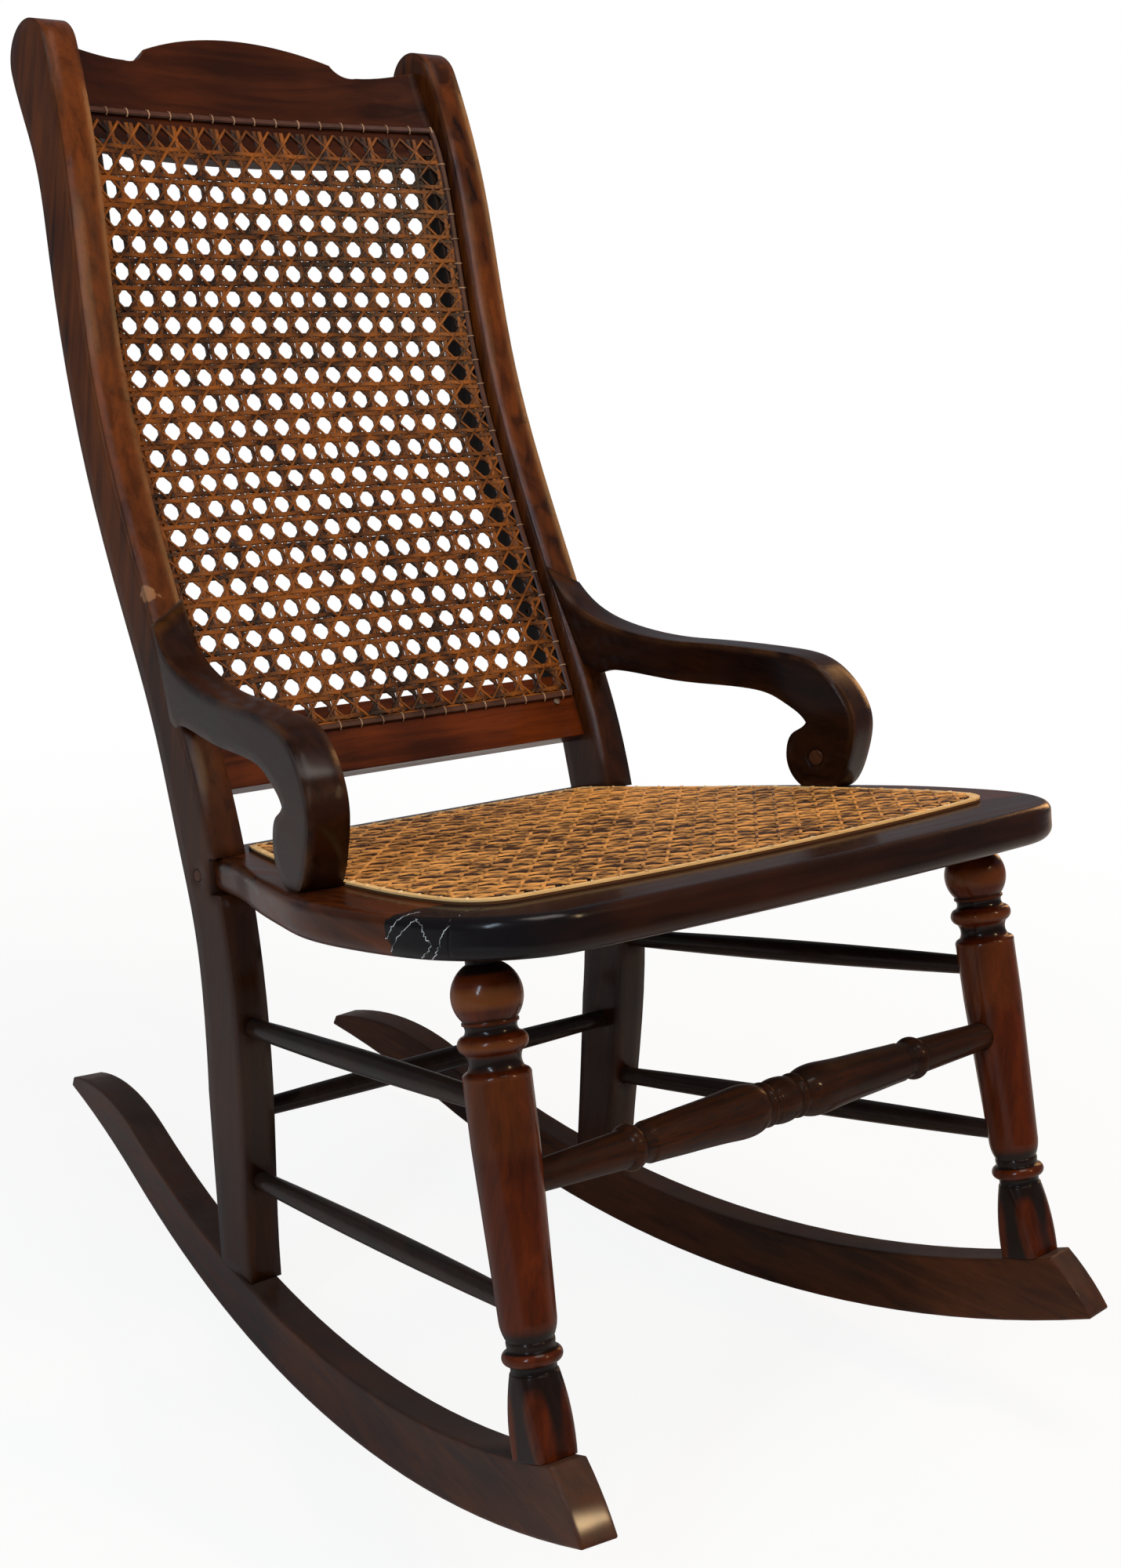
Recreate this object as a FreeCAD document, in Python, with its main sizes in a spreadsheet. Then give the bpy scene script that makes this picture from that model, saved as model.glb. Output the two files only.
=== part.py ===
import FreeCAD, Part
import math
import os
import Sketcher

Vector = FreeCAD.Vector

# Driving dimensions in millimetres and degrees.
# The chair is drawn as it stands with a sitter in it: X to the right, Y to the rear, Z up from the floor,
# Y = 0 near the middle of the seat. The empty chair rocks back by lean_back, and every piece gets that stance.
SIZES = {
    "lean_back": 7.9,
    "joint_gap": 0.2,
    # rockers: planks set on edge, toed in to the rear
    "rocker_thickness": 25.4,
    "rocker_round": 1.5,
    "rocker_front_margin": 12.3,
    "rocker_rear_margin": 0.44,
    "rocker_depth": 42.0,
    "rocker_radius": 882.0,
    "rocker_lowest": 24.0,
    "rocker_top_radius": 854.5,
    "rocker_top_lowest": 34.6,
    "nose_reach": 277.5,
    "nose_slant": 33.0,
    "nose_bulge": 2.5,
    "tail_bend": 352.0,
    "tail_radius": 815.0,
    "tail_turn": 9.6,
    "tail_end": 8.0,
    "tail_crown": 10.0,
    # back posts: one sawn plank each, bowed outwards in the front view
    "post_thickness": 25.4,
    "post_half_width": 182.3,
    "post_bow": 11.9,
    "foot_height": 52.5,
    "foot_front": 149.5,
    "foot_depth": 38.0,
    "shin_height": 192.5,
    "shin_front": 143.0,
    "shin_depth": 44.5,
    "knee_height": 282.5,
    "knee_front": 147.5,
    "knee_depth": 42.5,
    "hip_height": 362.5,
    "hip_front": 164.0,
    "hip_depth": 46.0,
    "arm_low_front": 193.0,
    "arm_low_depth": 41.5,
    "arm_top_front": 238.0,
    "arm_top_depth": 40.5,
    "loin_height": 612.5,
    "loin_front": 277.0,
    "loin_depth": 39.5,
    "rib_height": 692.5,
    "rib_front": 307.0,
    "rib_depth": 38.0,
    "shoulder_height": 767.5,
    "shoulder_front": 324.5,
    "shoulder_depth": 40.5,
    "neck_height": 832.5,
    "neck_front": 339.0,
    "neck_depth": 45.0,
    "finial_height": 905.0,
    "finial_setback": 393.5,
    "finial_radius": 26.5,
    "finial_lean": 24.5,
    # slips, rails and cane of the back
    "cane_setback": 17.0,
    "slip_width": 14.0,
    "slip_depth": 18.0,
    "rail_lean": 25.0,
    "crest_bottom": 849.0,
    "crest_thickness": 20.0,
    "crest_bow": 16.0,
    "crest_end_height": 73.5,
    "crest_dip_height": 68.5,
    "crest_dip_place": 113.0,
    "crest_step_height": 80.0,
    "crest_step_place": 84.0,
    "crest_crown_height": 97.0,
    "lower_rail_bottom": 399.5,
    "lower_rail_height": 50.0,
    "lower_rail_thickness": 20.0,
    "back_cane_low": 431.0,
    "back_cane_high": 867.0,
    "cane_thickness": 1.6,
    "binder_width": 5.0,
    "binder_thickness": 1.2,
    "rail_tenon_length": 10.0,
    "rail_tenon_thickness": 9.0,
    # seat frame
    "seat_height": 378.2,
    "seat_slope": 6.5,
    "seat_thickness": 25.4,
    "seat_front": 237.0,
    "seat_front_bow": 8.0,
    "seat_front_half": 196.0,
    "seat_half_width": 269.0,
    "side_rail_width": 52.0,
    "seat_widest": 105.0,
    "seat_rear_half": 191.0,
    "seat_top_round": 6.0,
    "seat_bottom_round": 9.0,
    "opening_front": 177.0,
    "opening_front_bow": 14.0,
    "opening_rear": 168.0,
    "opening_rear_half": 146.0,
    "rear_rail_depth": 40.0,
    "seat_notch": 6.0,
    "seam_inner": 180.0,
    "seam_inner_reach": 158.0,
    "seam_outer_reach": 191.0,
    "cane_margin": 12.0,
    "seat_dowel_radius": 4.0,
    "seat_dowel_length": 30.0,
    # front legs, turned about a leaning axis, distances measured down from the centre of the ball
    "leg_inset": 52.0,
    "leg_spread": 5.0,
    "leg_top_reach": 164.0,
    "leg_top_height": 343.5,
    "leg_foot_reach": 220.0,
    "leg_foot_height": 84.0,
    "leg_ball_radius": 21.2,
    "leg_top_radius": 10.3,
    "leg_tenon_radius": 7.0,
    "leg_tenon_depth": 18.0,
    "leg_neck_radius": 16.0,
    "leg_ring_radius": 20.8,
    "leg_ring_place": 27.0,
    "leg_shoulder_place": 46.0,
    "leg_barrel_radius": 20.2,
    "leg_barrel_end": 190.0,
    "leg_barrel_end_radius": 16.8,
    "leg_collar_radius": 18.0,
    "leg_collar_place": 208.7,
    "leg_ankle_radius": 13.6,
    "foot_place": 218.0,
    "foot_top_side": 28.6,
    "foot_swell_side": 30.5,
    "foot_base_side": 26.0,
    "foot_base_length": 32.0,
    "foot_tenon_radius": 7.0,
    "foot_tenon_depth": 16.0,
    # stretchers
    "upper_stretcher_rear_height": 241.0,
    "upper_stretcher_front_height": 280.5,
    "lower_stretcher_rear_height": 127.5,
    "lower_stretcher_front_height": 165.5,
    "side_stretcher_radius": 8.2,
    "side_tenon_radius": 6.5,
    "side_tenon_depth": 11.0,
    "rear_stretcher_height": 173.0,
    "rear_stretcher_radius": 8.2,
    "front_stretcher_height": 236.0,
    "front_ring_place": 128.0,
    "front_ring_radius": 14.5,
    "front_centre_radius": 15.0,
    "front_swell_radius": 16.2,
    "front_swell_place": 46.0,
    "front_end_radius": 9.6,
    # arms
    "arm_thickness": 27.5,
    "arm_inset": 53.8,
    "arm_rear_inset": 6.82,
    "arm_crest_rise": 102.3,
    "seam_low_drop": 42.0,
    "seam_rise": 92.0,
    "arm_depth": 30.5,
    "arm_reach": 41.5,
    "scroll_reach": 12.0,
    "scroll_radius": 26.0,
    "plug_radius": 5.5,
    "plug_height": 1.5,
    # fixings
    "dowel_radius": 5.0,
    "dowel_length": 40.0,
    "arm_dowel_radius": 4.0,
    "arm_dowel_length": 32.0,
    "screw_radius": 2.4,
    "screw_head_radius": 4.6,
    "screw_head_height": 3.0,
    "scroll_screw_length": 46.0,
    "post_screw_length": 44.0,
    "post_plug_radius": 4.2,
    "post_plug_depth": 5.0,
    "pin_radius": 1.6,
    "pin_length": 22.0,
    "nail_radius": 1.4,
    "nail_head_radius": 3.0,
    "nail_length": 18.0,
}

# Sizes that follow from others, in the order in which they are worked out
DERIVED = {
    "opening_half_width": "=seat_half_width - side_rail_width",
    "leg_top_half_width": "=seat_half_width - leg_inset",
    "leg_foot_half_width": "=leg_top_half_width + leg_spread",
    "rocker_front_half": "=leg_foot_half_width + rocker_front_margin",
    "rocker_rear_half": "=post_half_width + rocker_rear_margin",
    "rocker_taper": "=(rocker_front_half - rocker_rear_half) / (leg_foot_reach + foot_front + foot_depth / 2)",
    "rocker_toe_in": "=atan(rocker_taper)",
    "rocker_track": "=rocker_front_half - leg_foot_reach * rocker_taper",
    "arm_crest_height": "=seat_height + arm_crest_rise",
    "arm_low_height": "=arm_crest_height - seam_low_drop",
    "arm_top_height": "=arm_low_height + seam_rise",
    "arm_half_width": "=seat_half_width - arm_inset",
    "arm_rear_half": "=post_half_width - arm_rear_inset",
    "arm_splay": "=atan((arm_half_width - arm_rear_half) / arm_low_front)",
}

doc = FreeCAD.newDocument("cane_rocking_chair")
sheet = doc.addObject("Spreadsheet::Sheet", "sizes")
for row, (alias, value) in enumerate({**SIZES, **DERIVED}.items(), start=1):
    sheet.set(f"A{row}", alias)
    sheet.set(f"B{row}", str(value))
    sheet.setAlias(f"B{row}", alias)
doc.recompute()


class Sizes:
    """Reads the sheet's cells by their alias."""

    def __getattr__(self, alias):
        return float(getattr(sheet, alias))


dim = Sizes()
SIDES = (("left", -1.0), ("right", 1.0))
FAR = 1600.0
NODES = []


def frame(origin, across, up):
    """Placement whose local X is across, local Y is up and local Z is their cross product."""
    x_axis = Vector(across).normalize()
    z_axis = x_axis.cross(Vector(up)).normalize()
    y_axis = z_axis.cross(x_axis)
    turn = FreeCAD.Rotation(x_axis, y_axis, z_axis, "ZXY")
    return FreeCAD.Placement(Vector(origin), turn)


def facing(origin, normal):
    """Placement whose local Z is the normal."""
    turn = FreeCAD.Rotation(Vector(0, 0, 1), Vector(normal))
    return FreeCAD.Placement(Vector(origin), turn)


def side_view(x):
    """Plane of the side view at x, drawn with Y across and Z up, facing +X."""
    return frame((x, 0, 0), (0, 1, 0), (0, 0, 1))


def front_view(y):
    """Plane of the front view at y, drawn with X across and Z up, facing the front."""
    return frame((0, y, 0), (1, 0, 0), (0, 0, 1))


def plan_view(z):
    """Plane of the plan view at z, drawn with X across and Y up the page, facing up."""
    return frame((0, 0, z), (1, 0, 0), (0, 1, 0))


class Outline:
    """Closed chain of lines, arcs and curves in a plane."""

    def __init__(self, x, y):
        self.start = Vector(x, y, 0)
        self.end = self.start
        self.pieces = []

    def line(self, x, y):
        point = Vector(x, y, 0)
        self.pieces.append(Part.LineSegment(self.end, point))
        self.end = point
        return self

    def arc(self, middle, end):
        point = Vector(*end, 0)
        self.pieces.append(Part.Arc(self.end, Vector(*middle, 0), point))
        self.end = point
        return self

    def curve(self, points, first=None, last=None):
        """Smooth curve from the present end through the points, with optional directions at its ends."""
        through = [self.end] + [Vector(*p, 0) for p in points]
        spline = Part.BSplineCurve()
        if first is None:
            spline.interpolate(Points=through)
        else:
            spline.interpolate(Points=through, InitialTangent=Vector(*first, 0), FinalTangent=Vector(*last, 0))
        self.pieces.append(spline)
        self.end = through[-1]
        return self

    def follow(self, spline):
        """Adds a curve that starts at the present end."""
        self.pieces.append(spline)
        self.end = spline.EndPoint
        return self

    def close(self):
        return self.line(self.start.x, self.start.y)


def rectangle(x_low, y_low, x_high, y_high):
    return Outline(x_low, y_low).line(x_high, y_low).line(x_high, y_high).line(x_low, y_high).close()


def polygon(points):
    outline = Outline(*points[0])
    for point in points[1:]:
        outline.line(*point)
    return outline.close()


def new_body(label):
    body = doc.addObject("PartDesign::Body", label)
    body.Label = label
    NODES.append(body)
    return body


def new_sketch(body, name, place, outlines):
    """Sketch on the body's XY plane, moved to the placement, with one or more closed outlines."""
    sketch = body.newObject("Sketcher::SketchObject", f"{body.Name}_{name}")
    base = [plane for plane in body.Origin.OriginFeatures if plane.Role == "XY_Plane"][0]
    sketch.AttachmentSupport = [(base, "")]
    sketch.MapMode = "FlatFace"
    sketch.AttachmentOffset = place
    for outline in outlines:
        numbers = [sketch.addGeometry(piece, False) for piece in outline.pieces]
        join_ends(sketch, numbers)
    return sketch


def join_ends(sketch, numbers):
    """Makes the end of each piece coincide with the next one's nearest end."""
    for first, second in zip(numbers, numbers[1:] + numbers[:1]):
        pairs = [(sketch.getPoint(first, a).distanceToPoint(sketch.getPoint(second, b)), a, b)
                 for a in (1, 2) for b in (1, 2)]
        _, a, b = min(pairs)
        sketch.addConstraint(Sketcher.Constraint("Coincident", first, a, second, b))


def circle_sketch(body, name, place, radius_size, gap=False):
    """Sketch of one circle about the placement's origin, its radius tied to the sheet."""
    sketch = new_sketch(body, name, place, [])
    number = sketch.addGeometry(Part.Circle(Vector(0, 0, 0), Vector(0, 0, 1), getattr(dim, radius_size)), False)
    sketch.addConstraint(Sketcher.Constraint("Coincident", number, 3, -1, 1))
    datum = sketch.addConstraint(Sketcher.Constraint("Radius", number, getattr(dim, radius_size)))
    sketch.renameConstraint(datum, "radius")
    extra = " + sizes.joint_gap" if gap else ""
    sketch.setExpression("Constraints.radius", f"sizes.{radius_size}{extra}")
    return sketch


def pad(body, sketch, length, name="pad", reverse=False):
    """Adds the sketch's area along the plane's own facing. The length is a number or an expression."""
    feature = body.newObject("PartDesign::Pad", f"{body.Name}_{name}")
    feature.Profile = sketch
    feature.Reversed = reverse
    set_length(feature, length)
    doc.recompute()
    return feature


def pocket(body, sketch, length, name="pocket"):
    """Takes the sketch's area away, against the plane's own facing, and makes sure that something went."""
    before = body.Shape.Volume
    feature = body.newObject("PartDesign::Pocket", f"{body.Name}_{name}")
    feature.Profile = sketch
    set_length(feature, length)
    doc.recompute()
    if body.Shape.Volume > before - 1.0:
        raise ValueError(f"{feature.Name} cuts nothing")
    return feature


def set_length(feature, length):
    if isinstance(length, str):
        feature.setExpression("Length", length)
    else:
        feature.Length = length


def revolve(body, name, place, outline):
    """Turns a half profile, radius across and distance up, about the plane's upright axis."""
    sketch = new_sketch(body, name, place, [outline])
    feature = body.newObject("PartDesign::Revolution", f"{body.Name}_{name}_turned")
    feature.Profile = sketch
    feature.ReferenceAxis = (sketch, ["V_Axis"])
    feature.Angle = 360.0
    doc.recompute()
    return feature


def round_edges(body, chosen, radius_size, name):
    """Rounds the edges of the body's present shape that the test picks."""
    doc.recompute()
    names = [f"Edge{i}" for i, edge in enumerate(body.Shape.Edges, start=1) if chosen(edge)]
    if not names:
        raise ValueError(f"{body.Name} {name}: no edge found")
    base = body.Tip
    feature = body.newObject("PartDesign::Fillet", f"{body.Name}_{name}")
    feature.Base = (base, names)
    feature.setExpression("Radius", f"sizes.{radius_size}")
    doc.recompute()
    return feature


def round_hole(body, name, origin, direction, radius_size, depth):
    """Bores along the direction, a joint gap wider than the piece that goes in."""
    place = facing(origin, Vector(direction).negative())
    return pocket(body, circle_sketch(body, name, place, radius_size, gap=True), depth, f"{name}_bore")


def round_peg(body, name, origin, direction, radius_size, length):
    """Adds a round tenon along the direction."""
    place = facing(origin, direction)
    return pad(body, circle_sketch(body, name, place, radius_size), length, f"{name}_tenon")


def new_cylinder(name, origin, direction, radius_size, height_size):
    """Round bar whose radius and height are tied to the sheet."""
    bar = doc.addObject("Part::Cylinder", name)
    bar.setExpression("Radius", f"sizes.{radius_size}")
    bar.setExpression("Height", f"sizes.{height_size}")
    bar.Placement = facing(origin, direction)
    return bar


def new_group(label, members):
    """One node that holds several like pieces as separate solids."""
    group = doc.addObject("Part::Compound", label)
    group.Label = label
    group.Links = members
    NODES.append(group)
    return group


# Shape of the rockers


def rocker_plane(side, inset=0.0):
    """Plane of a rocker's outer face: distance along the plank across, height up."""
    toe = math.radians(dim.rocker_toe_in)
    along = Vector(-side * math.sin(toe), math.cos(toe), 0)
    outward = Vector(side * math.cos(toe), math.sin(toe), 0)
    origin = Vector(side * dim.rocker_track, 0, 0) - outward * inset
    return frame(origin, along, (0, 0, 1))


def rocker_underside(along):
    drop = along - dim.rocker_lowest
    return dim.rocker_radius - math.sqrt(dim.rocker_radius ** 2 - drop ** 2)


def rocker_top(along, clear=0.0):
    drop = along - dim.rocker_top_lowest
    centre = dim.rocker_depth + dim.rocker_top_radius
    return centre - math.sqrt((dim.rocker_top_radius - clear) ** 2 - drop ** 2)


def along_rocker(y):
    return y / math.cos(math.radians(dim.rocker_toe_in))


def rocker_centre_x(y):
    """Half width of the middle of a rocker's thickness at y."""
    toe = math.radians(dim.rocker_toe_in)
    return dim.rocker_track - y * math.tan(toe) - dim.rocker_thickness / 2 / math.cos(toe)


def rocker_outline():
    """Underside arc, tail that bends the other way, crowned tail end, top arc and bulged nose."""
    nose = -dim.nose_reach
    nose_top = nose + dim.nose_slant
    bend = dim.tail_bend
    rise = math.asin((bend - dim.rocker_lowest) / dim.rocker_radius)
    turn = math.radians(dim.tail_turn)
    centre_x = bend + dim.tail_radius * math.sin(rise)
    centre_y = rocker_underside(bend) - dim.tail_radius * math.cos(rise)

    def tail(angle):
        return (centre_x - dim.tail_radius * math.sin(angle), centre_y + dim.tail_radius * math.cos(angle))

    tip = tail(rise - turn)
    tip_top = (tip[0] - dim.tail_end / 2, tip[1] + dim.tail_end)
    crown_mid = ((bend + tip_top[0]) / 2, (rocker_top(bend) + tip_top[1]) / 2 + dim.tail_crown)
    middle = (nose + bend) / 2
    top_middle = (nose_top + bend) / 2
    outline = Outline(nose, rocker_underside(nose))
    outline.arc((middle, rocker_underside(middle)), (bend, rocker_underside(bend)))
    outline.arc(tail(rise - turn / 2), tip)
    outline.line(*tip_top)
    outline.arc(crown_mid, (bend, rocker_top(bend)))
    outline.arc((top_middle, rocker_top(top_middle)), (nose_top, rocker_top(nose_top)))
    face_mid = ((nose + nose_top) / 2 - dim.nose_bulge, (rocker_underside(nose) + rocker_top(nose_top)) / 2)
    outline.arc(face_mid, (nose, rocker_underside(nose)))
    return outline


def below_rocker_top():
    """Area under the top of a rocker, lifted by the joint gap, used to fit what stands on it."""
    low, high = -dim.nose_reach - 60, dim.tail_bend + 20
    clear = dim.joint_gap
    outline = Outline(low, rocker_top(low, clear))
    outline.arc(((low + high) / 2, rocker_top((low + high) / 2, clear)), (high, rocker_top(high, clear)))
    outline.line(high, -100)
    outline.line(low, -100)
    return outline.close()


# Shape of the back posts

STATIONS = ("foot", "shin", "knee", "hip", "arm_low", "arm_top", "loin", "rib", "shoulder", "neck")


def station(name, behind=0.0):
    """Point of the post's front edge at a station, moved back by a distance."""
    return (getattr(dim, f"{name}_front") + behind, getattr(dim, f"{name}_height"))


def rear_station(name):
    return (getattr(dim, f"{name}_front") + getattr(dim, f"{name}_depth"), getattr(dim, f"{name}_height"))


def finial_point(angle):
    """Point on the rounded end, the angle measured from its leaning axis towards the front."""
    turn = math.radians(angle - dim.finial_lean)
    return (dim.finial_setback - dim.finial_radius * math.sin(turn),
            dim.finial_height + dim.finial_radius * math.cos(turn))


def lean_direction():
    turn = math.radians(dim.finial_lean)
    return (math.sin(turn), math.cos(turn))


def seam_direction():
    """Direction of the straight stretch of the post that carries the arm."""
    low, high = station("arm_low"), station("arm_top")
    length = math.hypot(high[0] - low[0], high[1] - low[1])
    return ((high[0] - low[0]) / length, (high[1] - low[1]) / length)


def spline_through(points, first, last):
    """Smooth curve of the side view through the points, with its directions at both ends."""
    spline = Part.BSplineCurve()
    through = [Vector(*point, 0) for point in points]
    spline.interpolate(Points=through, InitialTangent=Vector(*first, 0), FinalTangent=Vector(*last, 0))
    return spline


LOWER_EDGE = spline_through([station(n) for n in ("foot", "shin", "knee", "hip", "arm_low")],
                            (0, 1), seam_direction())
UPPER_EDGE = spline_through([station(n) for n in ("arm_top", "loin", "rib", "shoulder", "neck")]
                            + [finial_point(90)], seam_direction(), lean_direction())


def y_on(curve, z):
    """Y of a rising curve of the side view at a height."""
    low, high = curve.FirstParameter, curve.LastParameter
    for _ in range(50):
        middle = (low + high) / 2
        if curve.value(middle).y < z:
            low = middle
        else:
            high = middle
    return curve.value(low).x


def post_front(z):
    """Y of the post's front edge at a height."""
    if z < dim.arm_low_height:
        return y_on(LOWER_EDGE, z)
    if z > dim.arm_top_height:
        return y_on(UPPER_EDGE, z)
    low, high = station("arm_low"), station("arm_top")
    return low[0] + (high[0] - low[0]) * (z - low[1]) / (high[1] - low[1])


def post_outline():
    low = dim.rocker_depth - 15
    back = lean_direction()
    outline = Outline(dim.foot_front, low)
    outline.line(*station("foot"))
    outline.follow(LOWER_EDGE)
    outline.line(*station("arm_top"))
    outline.follow(UPPER_EDGE)
    outline.arc(finial_point(0), finial_point(-90))
    outline.curve([rear_station(n) for n in reversed(STATIONS)], (-back[0], -back[1]), (0, -1))
    outline.line(dim.foot_front + dim.foot_depth, low)
    return outline.close()


def post_half(z):
    """Half width of a post's outer face at a height: an arc between the foot and the finial."""
    low = dim.foot_height
    high = dim.finial_height + dim.finial_radius
    half_chord = (high - low) / 2
    radius = (half_chord ** 2 + dim.post_bow ** 2) / (2 * dim.post_bow)
    rise = z - (low + high) / 2
    return dim.post_half_width + dim.post_bow - radius + math.sqrt(radius ** 2 - rise ** 2)


def inner_half(z):
    return post_half(z) - dim.post_thickness


def strip_cut(side, half, beyond):
    """Area beyond a bowed upright face, from the face out to a distance, in the front view."""
    low, high = -50.0, dim.finial_height + 2 * dim.finial_radius
    middle = (low + high) / 2
    outline = Outline(side * half(low), low)
    outline.arc((side * half(middle), middle), (side * half(high), high))
    outline.line(side * (half(high) + beyond), high)
    outline.line(side * (half(low) + beyond), low)
    return outline.close()


def cut_strip(body, side, outer, inner):
    """Leaves only what lies between an inner and an outer bowed upright face."""
    stock = 60.0
    outside = new_sketch(body, "outside", front_view(-FAR / 2), [strip_cut(side, outer, stock)])
    pocket(body, outside, FAR, "outside_cut")
    inside = new_sketch(body, "inside", front_view(-FAR / 2), [strip_cut(side, inner, -stock)])
    pocket(body, inside, FAR, "inside_cut")


# Shape of the seat


def seat_plane(drop=0.0):
    """Plane of the seat's top, lowered by a distance: X across, up the page to the rear."""
    slope = math.radians(dim.seat_slope)
    rear = Vector(0, math.cos(slope), -math.sin(slope))
    normal = Vector(0, math.sin(slope), math.cos(slope))
    return frame(Vector(0, 0, dim.seat_height) - normal * drop, (1, 0, 0), rear)


def seat_z(y):
    return dim.seat_height - y * math.tan(math.radians(dim.seat_slope))


def chord_end(half, bow):
    """Direction at the right end of a shallow arc that dips by the bow below its chord."""
    radius = (half ** 2 + bow ** 2) / (2 * bow)
    return (math.sqrt(radius ** 2 - half ** 2) / radius, half / radius)


def seat_outline():
    """Bowed front, rounded corners, serpentine sides that draw in to the posts."""
    half, side, wide, rear = dim.seat_front_half, dim.seat_half_width, dim.seat_widest, dim.seat_rear_half
    corner = dim.seat_front - dim.seat_front_bow
    turn = (half + (side - half) * 0.74, -corner + (corner - wide) * 0.27)
    back = [(side - 19, 2), (rear + 31, 77), (rear + 14, 118), (rear, 164), (rear - 8, dim.opening_rear + 30)]
    outline = Outline(-half, -corner)
    outline.arc((0, -dim.seat_front), (half, -corner))
    end = chord_end(half, dim.seat_front_bow)
    outline.curve([turn, (side, -wide)], end, (0, 1))
    outline.curve(back, (0, 1), (-0.2, 1))
    outline.line(-back[-1][0], back[-1][1])
    outline.curve([(-x, y) for x, y in reversed(back[:-1])] + [(-side, -wide)], (-0.2, -1), (0, -1))
    outline.curve([(-turn[0], turn[1]), (-half, -corner)], (0, -1), (end[0], -end[1]))
    return outline


def opening_outline(grow=0.0, tail=0.0):
    """Opening of the seat frame; grown, the line of its cane; with a tail, run on beyond its rear."""
    front, wide = dim.opening_front + grow, dim.opening_half_width + grow
    rear, rear_half = dim.opening_rear + grow, dim.opening_rear_half + grow * 0.75
    shoulder, corner = wide - 30, front - dim.opening_front_bow
    side = [(wide, -dim.seat_widest - 18), (wide - 7, -49), (wide - 19, 17),
            (rear_half + (wide - rear_half) * 0.43, 90), (rear_half, rear)]
    turn = (wide - 7, -corner + 14)
    outline = Outline(-shoulder, -corner)
    outline.arc((0, -front), (shoulder, -corner))
    outline.curve([turn, side[0]], (1, 0.1), (0, 1))
    outline.curve(side[1:], (0, 1), (-0.42, 1))
    if tail:
        outline.line(rear_half - 1, rear + tail)
        outline.line(1 - rear_half, rear + tail)
    outline.line(-rear_half, rear)
    outline.curve([(-x, y) for x, y in reversed(side[:-1])], (-0.42, -1), (0, -1))
    outline.curve([(-turn[0], turn[1]), (-shoulder, -corner)], (0, -1), (1, -0.1))
    return outline


def seam_points(side, gap=0.0):
    """Ends of the joint between the front rail and a side rail, moved to the rear by a gap."""
    return ((side * dim.seam_inner, -dim.seam_inner_reach + gap),
            (side * (dim.seat_half_width + 20), -dim.seam_outer_reach + gap))


def seat_ring(body):
    ring = new_sketch(body, "ring", seat_plane(dim.seat_thickness), [seat_outline(), opening_outline(tail=14.0)])
    pad(body, ring, "sizes.seat_thickness", "ring_pad")
    doc.recompute()
    slope = math.radians(dim.seat_slope)
    normal = Vector(0, math.sin(slope), math.cos(slope))
    top = Vector(0, 0, dim.seat_height)

    def rim(depth):
        def chosen(edge):
            points = [edge.valueAt(edge.FirstParameter + (edge.LastParameter - edge.FirstParameter) * t)
                      for t in (0.02, 0.5, 0.98)]
            if any(abs((p - top).dot(normal) + depth) > 0.01 for p in points):
                return False
            return abs(points[1].x) > dim.opening_half_width + 8 or points[1].y < -dim.opening_front - 15
        return chosen

    round_edges(body, rim(0.0), "seat_top_round", "top_round")
    round_edges(body, rim(dim.seat_thickness), "seat_bottom_round", "bottom_round")


def behind_seams():
    """Area of the plan behind the joints of the front rail."""
    left_in, left_out = seam_points(-1.0)
    right_in, right_out = seam_points(1.0)
    return polygon([left_out, left_in, right_in, right_out, (right_out[0], FAR), (left_out[0], FAR)])


def before_seams():
    """Area of the plan in front of the joints, a joint gap behind the front rail."""
    left_in, left_out = seam_points(-1.0, dim.joint_gap)
    right_in, right_out = seam_points(1.0, dim.joint_gap)
    return polygon([left_out, left_in, right_in, right_out, (right_out[0], -FAR), (left_out[0], -FAR)])


def beyond_side_rail(side):
    """Area of the plan across the middle and behind the end of a side rail, which laps the post."""
    reach = FAR / 2
    lap = dim.hip_front + dim.seat_notch
    post = inner_half(dim.hip_height) - dim.joint_gap
    rear = dim.opening_rear - dim.joint_gap
    return polygon([(-side * reach, -reach), (0, -reach), (0, rear), (side * post, rear), (side * post, lap),
                    (side * reach, lap), (side * reach, reach), (-side * reach, reach)])


# Shape of the turned pieces


def leg_axis(side):
    """Top of the axis (centre of the ball) and its direction down the leg."""
    top = Vector(side * dim.leg_top_half_width, -dim.leg_top_reach, dim.leg_top_height)
    foot = Vector(side * dim.leg_foot_half_width, -dim.leg_foot_reach, dim.leg_foot_height)
    return top, (foot - top).normalize()


def leg_point(side, height):
    """Point of the leg's axis at a height."""
    top, down = leg_axis(side)
    return top + down * ((height - top.z) / down.z)


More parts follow.
